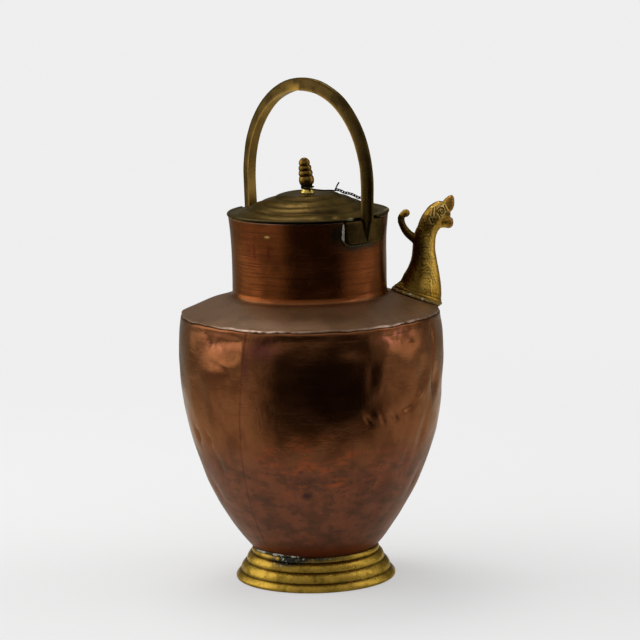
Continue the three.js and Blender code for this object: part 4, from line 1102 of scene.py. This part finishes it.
def clean_shading(owner):
    """An empty node tree for a material or a world."""
    owner.use_nodes = True
    owner.node_tree.nodes.clear()
    return Shading(owner.node_tree)


def new_group(name, inputs, outputs):
    tree = bpy.data.node_groups.new(name, "ShaderNodeTree")
    for label, value in inputs:
        kind = "NodeSocketColor" if isinstance(value, tuple) else "NodeSocketFloat"
        tree.interface.new_socket(name=label, in_out="INPUT", socket_type=kind).default_value = value
    for label, kind in outputs:
        tree.interface.new_socket(name=label, in_out="OUTPUT", socket_type=kind)
    given, out = tree.nodes.new("NodeGroupInput").outputs, tree.nodes.new("NodeGroupOutput").inputs
    return tree, Shading(tree), given, out


def rgb(red, green, blue):
    """A colour as seen on screen, 0 to 255, in the shader's own light values."""
    return tuple(((c / 255) / 12.92 if c / 255 <= 0.04045 else ((c / 255 + 0.055) / 1.055) ** 2.4)
                 for c in (red, green, blue)) + (1.0,)


def patina_group():
    """Cloudy tarnish over a metal: large patches, small flecks and dark pinholes."""
    tree, s, given, out = new_group("patina", [
        ("Bare", rgb(150, 90, 60)), ("Tarnish", rgb(90, 50, 30)), ("Deep", rgb(40, 24, 16)),
        ("Patch Size", 30.0), ("Amount", 0.5), ("Flecks", 0.5)],
        [("Color", "NodeSocketColor"), ("Mask", "NodeSocketFloat")])
    patch_scale = s.math("DIVIDE", 1000.0, given["Patch Size"])
    low = s.math("SUBTRACT", 0.72, s.times(given["Amount"], 0.5))
    mask = s.spread(s.noise(patch_scale, 5.0), low, s.plus(low, 0.22))
    flecks = s.times(s.spread(s.noise(s.times(patch_scale, 7.0), 3.0), 0.52, 0.66), given["Flecks"])
    pins = s.times(s.spread(s.noise(900.0, 2.0, 0.5), 0.66, 0.72), given["Flecks"])
    color = s.mix(mask, given["Bare"], given["Tarnish"])
    color = s.mix(s.times(flecks, 0.6), color, given["Tarnish"])
    s.put(out["Color"], s.mix(pins, color, given["Deep"]))
    s.put(out["Mask"], mask)
    return tree


def scratch_group():
    """Fine scratches in three directions, as a height."""
    tree, s, given, out = new_group("scratches", [("Density", 1.0)], [("Height", "NodeSocketFloat")])
    total = 0.0
    for turn, waves in ((0.0, (30.0, 30.0, 900.0)), (0.5, (700.0, 60.0, 60.0)), (-0.7, (60.0, 800.0, 50.0))):
        turned = s.add("Mapping", Vector=s.place(), Rotation=(turn, turn * 0.6, turn), Scale=waves)
        lines = s.spread(s.noise(1.0, 2.0, 0.5, turned.outputs["Vector"]), 0.6, 0.72)
        total = s.plus(lines, total)
    s.put(out["Height"], s.times(total, given["Density"]))
    return tree


PATINA = patina_group()
SCRATCHES = scratch_group()
FILM_ROUGHNESS, FILM_SHARE = 0.2, 0.55   # what a full film adds to roughness and hides of the metal


def metal(name, build, metallic, roughness, edge=(0.8, 0.7, 0.5), film=None):
    """A worn metal: build gives its colour, how dull it is and its height; edge tints a grazing
    view and film gives where dirt lies over the metal."""
    material = bpy.data.materials.new(name)
    s = clean_shading(material)
    color, dull, height = build(s)
    rough = s.spread(dull, 0.0, 1.0, *roughness)
    if film:
        cover = film(s)
        rough = s.plus(rough, s.times(cover, FILM_ROUGHNESS))
        metallic = s.math("SUBTRACT", metallic, s.times(cover, FILM_SHARE))
    bump = s.add("Bump", Strength=1.0, Distance=0.001, Height=height)
    surface = s.add("BsdfPrincipled", Metallic=metallic, Base_Color=color, Roughness=rough,
                    Specular_Tint=(*edge, 1.0), Normal=bump.outputs["Normal"])
    s.add("OutputMaterial", Surface=surface.outputs["BSDF"])
    return material


def low_film(s):
    """A dull film over the body's lower half."""
    return s.spread(s.height(), 0.15, 0.11, 0.0, 0.5)


def slope_film(s):
    """Dust on the shoulder, which the neck's upright wall doesn't hold."""
    return s.spread(s.height(), 0.2585, 0.2535)


def copper_body(s):
    height = s.height()
    ground = s.patina(rgb(120, 73, 42), rgb(94, 53, 28), rgb(50, 25, 12), 46.0, 0.5, 0.2)
    low = s.patina(rgb(112, 64, 42), rgb(92, 53, 35), rgb(60, 31, 18), 17.0, 0.6, 0.4)
    lower = s.spread(s.plus(height, s.times(s.noise(28.0, 3.0, 0.5), 0.05)), 0.168, 0.132)
    color = s.mix(lower, ground["Color"], low["Color"])
    upright = s.spread(s.stretched((90.0, 90.0, 22.0), 4.0, 0.6), 0.5, 0.72)
    color = s.mix(s.times(upright, 0.35), color, rgb(84, 48, 26))
    # Between the heights of two hands the tarnish is rubbed off in level streaks
    level = s.spread(s.stretched((38.0, 38.0, 105.0), 6.0, 0.72), 0.45, 0.57)
    color = s.coats(color, ("rubbed", 0.85, rgb(150, 74, 38), level))
    blotches = s.spread(s.stretched((64.0, 64.0, 130.0), 6.0, 0.7, (3.0, 1.0, 7.0)), 0.48, 0.6)
    color = s.mix(s.times(s.times(lower, blotches), 0.6), color, rgb(66, 46, 28))
    color = s.coats(color, ("purple", 0.6, rgb(92, 40, 48)))
    color = s.mix(s.spread(height, 0.042, 0.034, 0.0, 0.8), color, rgb(108, 50, 24))
    # Over it: the darker front patch, painted highlights below the crease broken up by noise, the seam and
    # the spots
    color = s.coats(color, ("dark_front_patch", 0.72, rgb(58, 30, 14)),
                    ("crease_highlights", 1.0, rgb(176, 104, 84), s.spread(s.noise(110.0, 5.0, 0.65), 0.42, 0.62)),
                    ("seam", 0.5, rgb(78, 26, 20)), ("spots", 0.85, rgb(58, 28, 30)))
    dull = s.plus(s.times(lower, 0.45), s.noise(60.0))
    planished = s.times(s.noise(210.0), 0.16)
    return color, dull, s.plus(s.fine_bump(0.08), planished)


def copper_neck(s):
    wall = s.patina(rgb(124, 66, 30), rgb(96, 50, 22), rgb(56, 28, 14), 30.0, 0.5, 0.3)
    slope = s.patina(rgb(98, 68, 42), rgb(84, 57, 34), rgb(64, 40, 26), 20.0, 0.5, 0.8)
    on_wall = s.spread(s.height(), 0.2545, 0.2605)
    brushed = s.times(s.spread(s.stretched((12.0, 12.0, 620.0), 3.0, 0.6), 0.4, 0.65), on_wall)
    color = s.mix(on_wall, slope["Color"], wall["Color"])
    color = s.mix(s.times(brushed, 0.45), color, rgb(78, 40, 20))
    # Drips and a yellow spot; the lapped edge, worn bright and with painted highlights broken up by noise; a
    # painted highlight along the rim
    color = s.coats(color, ("drips", 0.8, rgb(92, 22, 18)), ("yellow", 1.0, rgb(206, 180, 104)),
                    ("edge", 1.0, rgb(232, 198, 174), s.spread(s.noise(90.0), 0.36, 0.58)),
                    ("rim_highlight", 0.7, rgb(190, 150, 122)))
    green = s.times(s.kept("verdigris"), s.spread(s.noise(160.0), 0.2, 0.45))
    color = s.mix(s.times(green, 0.92), color, rgb(44, 42, 30))
    dull = s.plus(s.times(green, 0.6), s.noise(80.0))
    return color, dull, s.plus(s.fine_bump(0.05), s.times(brushed, 0.022))


def brass(bare, tarnish, deep, patch, amount, grime, grain):
    """Brass with its patina; grime gives the coats over it: grime and wear, and on the spout and lid also
    painted highlights and shade.
    """
    def build(s):
        patina = s.patina(rgb(*bare), rgb(*tarnish), rgb(*deep), patch, amount, 0.6)
        dull = s.plus(s.times(patina["Mask"], 0.4), s.noise(120.0))
        return s.coats(patina["Color"], *grime(s)), dull, s.fine_bump(grain)
    return build


def no_grime(s):
    return []


def foot_grime(s):
    smear = s.mix(s.spread(s.noise(300.0, 3.0), 0.58, 0.66), rgb(40, 42, 38), rgb(160, 158, 140))
    return [("groove", 0.85, rgb(54, 42, 12), s.spread(s.noise(90.0), 0.3, 0.5, 0.55, 1.0)),
            ("verdigris", 1.0, smear, s.spread(s.noise(150.0), 0.3, 0.44))]


def handle_wear(s):
    return [("worn_edge", 0.6, rgb(150, 118, 58)), ("gripped", 0.6, rgb(150, 116, 50)),
            ("seam", 1.0, rgb(34, 26, 12))]


def spout_grime_and_painted_light(s):
    # The side facing the jug gets painted shade
    return [("front_face", 0.5, rgb(134, 98, 26)), ("back", 0.8, rgb(58, 40, 10)),
            ("band", 1.0, rgb(64, 46, 14), s.spread(s.noise(300.0, 3.0), 0.3, 0.5, 0.4, 1.0)),
            # The rubbed sides, also a painted highlight, and the head's darker tone
            ("handled", 0.85, rgb(204, 164, 74)), ("head", 0.3, rgb(100, 78, 38)),
            # Red-brown lips, and painted highlights on the raised rings and ridges of the head
            ("lips", 0.6, rgb(108, 70, 34)), ("raised", 0.7, rgb(206, 178, 106)),
            ("carved", 0.7, rgb(60, 44, 16))]


def lid_grime_and_painted_shade(s):
    return [("groove", 0.5, rgb(50, 36, 20)), ("brim", 0.5, rgb(58, 50, 32)),
            # Painted shade under the bead, and bright scrapes
            ("underside", 1.0, rgb(16, 13, 10)), ("bright", 1.0, rgb(170, 158, 120))]


def finial_grime(s):
    return [("groove", 0.6, rgb(58, 40, 14)), ("bright", 1.0, rgb(190, 164, 78))]


def solder(clean_places, dark=(38, 36, 24), light=(74, 64, 38)):
    """Old solder, dark to light with grime, and cleaner grey where clean_places says."""
    def build(s):
        patina = s.patina(rgb(176, 172, 156), rgb(112, 110, 96), rgb(50, 54, 44), 6.0, 0.55, 0.8)
        dirty = s.mix(s.noise(260.0), rgb(*dark), rgb(*light))
        return s.mix(clean_places(s), dirty, patina["Color"]), s.noise(200.0), s.fine_bump(0.4, 0.0)
    return build


def beside_plate(s):
    low = NECK_TOP - LUG_HEIGHT
    return s.spread(s.height(), low + 1.5 * mm, low + 6 * mm)


def in_specks(size, share):
    def places(s):
        return s.spread(s.noise(1000.0 / size, 3.0), 0.66 - 0.3 * share, 0.72 - 0.3 * share)
    return places


def wire(waves, dark, light):
    def build(s):
        color = s.mix(s.noise(waves, 3.0), rgb(*dark), rgb(*light))
        return color, s.noise(300.0, 3.0), s.fine_bump(0.1, 0.0)
    return build


MATERIALS = {
    "copper": metal("worn_copper_body", copper_body, 0.95, (0.15, 0.30), (0.8, 0.7, 0.58), low_film),
    "pale_copper": metal("brushed_copper_neck", copper_neck, 0.95, (0.16, 0.32), (0.8, 0.68, 0.55),
                         slope_film),
    "foot_solder": metal("foot_solder", solder(in_specks(9, 0.6)), 0.6, (0.4, 0.65)),
    "lug_solder": metal("lug_solder", solder(beside_plate), 0.6, (0.4, 0.65)),
    "spout_solder": metal("spout_solder", solder(in_specks(4, 0.25), (96, 74, 34), (140, 112, 54)),
                          0.6, (0.4, 0.65)),
    "iron": metal("blackened_iron_wire", wire(500.0, (14, 13, 16), (38, 32, 30)), 0.9, (0.5, 0.7),
                  (0.15, 0.15, 0.15)),
    "green_brass": metal("tarnished_chain_brass", wire(400.0, (30, 32, 26), (66, 62, 44)), 0.9, (0.45, 0.65),
                         (0.25, 0.23, 0.18)),
}
# The brass pieces: name, colours of bare metal, tarnish and pits, patches' size in mm and amount,
# grime with painted highlights and shade where the piece has them, grain in mm and roughness
BRASSES = {
    "foot": ("cast_brass_foot", (164, 131, 50), (118, 94, 31), (50, 40, 12), 11, 0.5, foot_grime, 0.22,
             (0.2, 0.36)),
    "handle": ("brown_brass_handle", (64, 48, 20), (44, 33, 13), (22, 16, 6), 16, 0.6, handle_wear, 0.1,
               (0.2, 0.36)),
    "spout": ("cast_brass_spout", (160, 122, 46), (124, 91, 30), (62, 44, 13), 8, 0.5, spout_grime_and_painted_light, 0.3,
              (0.24, 0.36)),
    "lid": ("olive_brass_lid", (74, 57, 28), (46, 35, 17), (26, 20, 10), 18, 0.6, lid_grime_and_painted_shade, 0.08,
            (0.22, 0.38)),
    "collar": ("plain_brass_sheet", (80, 62, 34), (60, 46, 24), (34, 26, 14), 18, 0.6, no_grime, 0.08,
               (0.3, 0.46)),
    "finial": ("turned_brass_finial", (116, 88, 38), (84, 61, 23), (42, 30, 11), 7, 0.5, finial_grime, 0.08,
               (0.14, 0.26)),
}
for key, (name, *recipe, roughness) in BRASSES.items():
    MATERIALS[key] = metal(name, brass(*recipe), 0.95, roughness)


# The jug's pieces

# What makes each piece, the node it replaces, its material, its slot and the body it rides on
PIECES = [
    (make_body, "body_wall", "copper", "copper", "jug"),
    (make_shoulder_and_neck, "shoulder_neck", "pale_copper", "pale_copper", "jug"),
    (make_foot, "foot_ring", "foot", "brass", "jug"),
    (make_handle, "handle_bow", "handle", "dark_brass", "jug"),
    (make_spout, "spout", "spout", "brass", "jug"),
    (make_lid, "lid_shell", "lid", "dark_brass", "lid"),
    (make_finial, "finial", "finial", "brass", "lid"),
]
for make, node, material, slot, body in PIECES:
    piece = make()
    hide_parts(node)
    piece.data.materials.clear()
    piece.data.materials.append(MATERIALS[material])
    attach(piece, body)


# Solder, wire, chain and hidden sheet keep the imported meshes

KEPT_NODES = {"bottom_disc": "copper", "foot_solder": "foot_solder", "front_lug_solder": "lug_solder",
              "rear_lug_solder": "lug_solder", "spout_solder": "spout_solder", "lid_collar": "collar",
              "finial_washer": "collar", "tie_wire": "iron"}
KEPT_NODES.update({name: "green_brass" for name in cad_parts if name.startswith("chain_link")})
WIRE_FILLET = 0.17 * mm                  # what rounding the wire's faces takes off, put back on
TWIST_COAT = 0.14 * mm                   # grime on the iron wire


def lumpy_solder(node):
    lumps = bpy.data.textures.new(node.name + "_lumps", "CLOUDS")
    lumps.noise_scale = 2.2 * mm
    modifier(node, "Skin", "REMESH", mode="VOXEL", voxel_size=0.3 * mm, use_smooth_shade=True)
    modifier(node, "Soften", "SMOOTH", iterations=4)
    modifier(node, "Lumps", "DISPLACE", texture=lumps, strength=0.7 * mm, mid_level=0.65)


def round_wire(node, coat):
    modifier(node, "Join", "WELD", merge_threshold=0.01 * mm)
    modifier(node, "Round", "SUBSURF", levels=2, render_levels=2)
    modifier(node, "Full", "DISPLACE", strength=WIRE_FILLET + coat, mid_level=0.0)


for name, material in KEPT_NODES.items():
    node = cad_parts[name]
    if not node.material_slots:
        node.data.materials.append(MATERIALS[material])
    for place in node.material_slots:
        place.material = MATERIALS[material]
    if material.endswith("solder"):
        lumpy_solder(node)
    elif material in ("iron", "green_brass"):
        round_wire(node, TWIST_COAT if material == "iron" else 0.0)


# Studio: a pale floor that fades into the backdrop, three soft boxes and a dim front

PALE = 0.86
FLOOR_GLOW = 0.45                        # share of the floor's own light, which softens the shadow
FLOOR_DROP = 0.2 * mm
FLOOR_FADE = (0.35, 1.3)                 # distances between which it fades into the backdrop, metres
CAMERA_SIDE = -45                        # where the camera stands, degrees from +X
CAMERA_TILT = 9.4
CAMERA_DISTANCE = 2.848
CAMERA_ROLL = 1.25
AIM_HEIGHT = 0.232
AIM_ASIDE = 0.0085
BOX_HEIGHT, BOX_DISTANCE = 0.22, 2.0     # what the soft boxes aim at, and how far from it they stand
DARK_SIDE = CAMERA_SIDE + 9              # the middle of the dark room that the front reflects
DARK_WIDTH = (0.42, 0.84)                # cosines between which it fades in
TABLE_EDGE = (0.17, 0.43)                # distances between which the table fades out, metres
TABLE_ENDS = (0.7, 1.1)                  # and to the sides, where it only dims


def direction(turn, tilt=0.0):
    c, s = cos_sin(turn)
    level, rise = cos_sin(tilt)
    return Vector((c * level, s * level, rise))


def pale_floor():
    material = bpy.data.materials.new("pale_floor")
    s = clean_shading(material)
    distance = s.vector("LENGTH", s.place())
    path = s.add("LightPath").outputs
    seen = s.math("MAXIMUM", path["Is Camera Ray"], path["Is Glossy Ray"])
    seen = s.math("MAXIMUM", seen, path["Is Transmission Ray"])
    cloth = s.add("BsdfDiffuse", Color=(0.8, 0.8, 0.8, 1))
    glow = s.add("Emission", Color=(PALE, PALE, PALE, 1), Strength=1.0)
    near = s.either(s.times(seen, FLOOR_GLOW), cloth, glow)
    both = s.either(s.times(s.spread(distance, *FLOOR_FADE), seen), near, glow)
    # In the jug's reflections the table ends in front of it and the room beyond is dark
    outward = s.add("VectorMath", {"operation": "NORMALIZE"}, Vector=s.place()).outputs["Vector"]
    ahead = s.spread(s.vector("DOT_PRODUCT", outward, direction(DARK_SIDE)), *DARK_WIDTH)
    past_edge = s.math("MAXIMUM", s.times(s.spread(distance, *TABLE_EDGE), ahead),
                       s.spread(distance, *TABLE_ENDS, 0.0, 0.6))
    ended = s.either(s.times(past_edge, path["Is Glossy Ray"]), both, s.add("Emission", Strength=0.01))
    s.add("OutputMaterial", Surface=ended.outputs["Shader"])
    return material


def make_floor():
    sides = 96
    turn = np.linspace(0, 2 * math.pi, sides, endpoint=False)
    rings = [np.stack([r * np.cos(turn), r * np.sin(turn), 0 * turn - FLOOR_DROP], 1)
             for r in (0.02, 0.3, 0.6, 1.2, 2.4, 6.0, 14.0)]
    points = np.vstack([*rings, [(0, 0, -FLOOR_DROP)]])
    faces = ring_quads(len(rings), sides, False)[:, ::-1].tolist()
    faces += [[len(points) - 1, side, (side + 1) % sides] for side in range(sides)]
    floor = make_mesh("floor", points, faces)
    floor.data.materials.append(pale_floor())


def soft_box(name, turn, tilt, width, height, power):
    light = bpy.data.lights.new(name, "AREA")
    light.shape = "RECTANGLE"
    light.size = width
    light.size_y = height
    light.energy = power
    lamp = new_object(name, light)
    aim = Vector((0, 0, BOX_HEIGHT))
    lamp.location = direction(turn, tilt) * BOX_DISTANCE + aim
    lamp.rotation_euler = (aim - lamp.location).to_track_quat("-Z", "Y").to_euler()
    lamp.visible_camera = False


def make_room():
    """The world: a pale backdrop to the camera, and to the jug dim walls round a dark front."""
    world = bpy.data.worlds.new("studio")
    bpy.context.scene.world = world
    s = clean_shading(world)
    view = s.add("TexCoord").outputs["Generated"]
    upward = s.add("SeparateXYZ", Vector=view).outputs["Z"]
    facing = s.vector("DOT_PRODUCT", view, direction(DARK_SIDE, 5))
    beside = s.vector("DOT_PRODUCT", view, direction(CAMERA_SIDE + 90))
    front = s.spread(upward, 0.0, 0.22, 0.07, 0.5)
    walls = s.spread(beside, -0.2, 0.6, 0.75, 0.3)
    dim = s.times(s.spread(facing, 0.82, 0.45, front, walls), s.spread(facing, -0.85, -0.35, 0.3, 1.0))
    ceiling = s.spread(upward, 0.35, 0.65, 0.0, 0.65)
    backdrop = s.times(s.add("LightPath").outputs["Is Camera Ray"], PALE)
    strength = s.math("MAXIMUM", s.math("MAXIMUM", dim, ceiling), backdrop)
    room = s.add("Background", Color=(1, 1, 1, 1), Strength=strength)
    s.add("OutputWorld", Surface=room.outputs["Background"])


def make_camera():
    camera = bpy.data.cameras.new("camera")
    camera.lens = 180
    camera.sensor_width = 36
    camera.clip_end = 100
    holder = new_object("camera", camera)
    aim = direction(CAMERA_SIDE + 90) * AIM_ASIDE + Vector((0, 0, AIM_HEIGHT))
    holder.location = aim + direction(CAMERA_SIDE, CAMERA_TILT) * CAMERA_DISTANCE
    look = (aim - holder.location).to_track_quat("-Z", "Y").to_matrix().to_4x4()
    holder.rotation_euler = (look @ Matrix.Rotation(math.radians(-CAMERA_ROLL), 4, "Z")).to_euler()
    bpy.context.scene.camera = holder


make_floor()
soft_box("left_box", CAMERA_SIDE - 100, 24, 2.0, 2.2, 20)
soft_box("right_box", CAMERA_SIDE + 92, 24, 1.3, 2.2, 10)
soft_box("top_box", CAMERA_SIDE + 200, 68, 0.9, 0.9, 12)
make_room()
make_camera()
bpy.context.scene.view_settings.view_transform = "Standard"
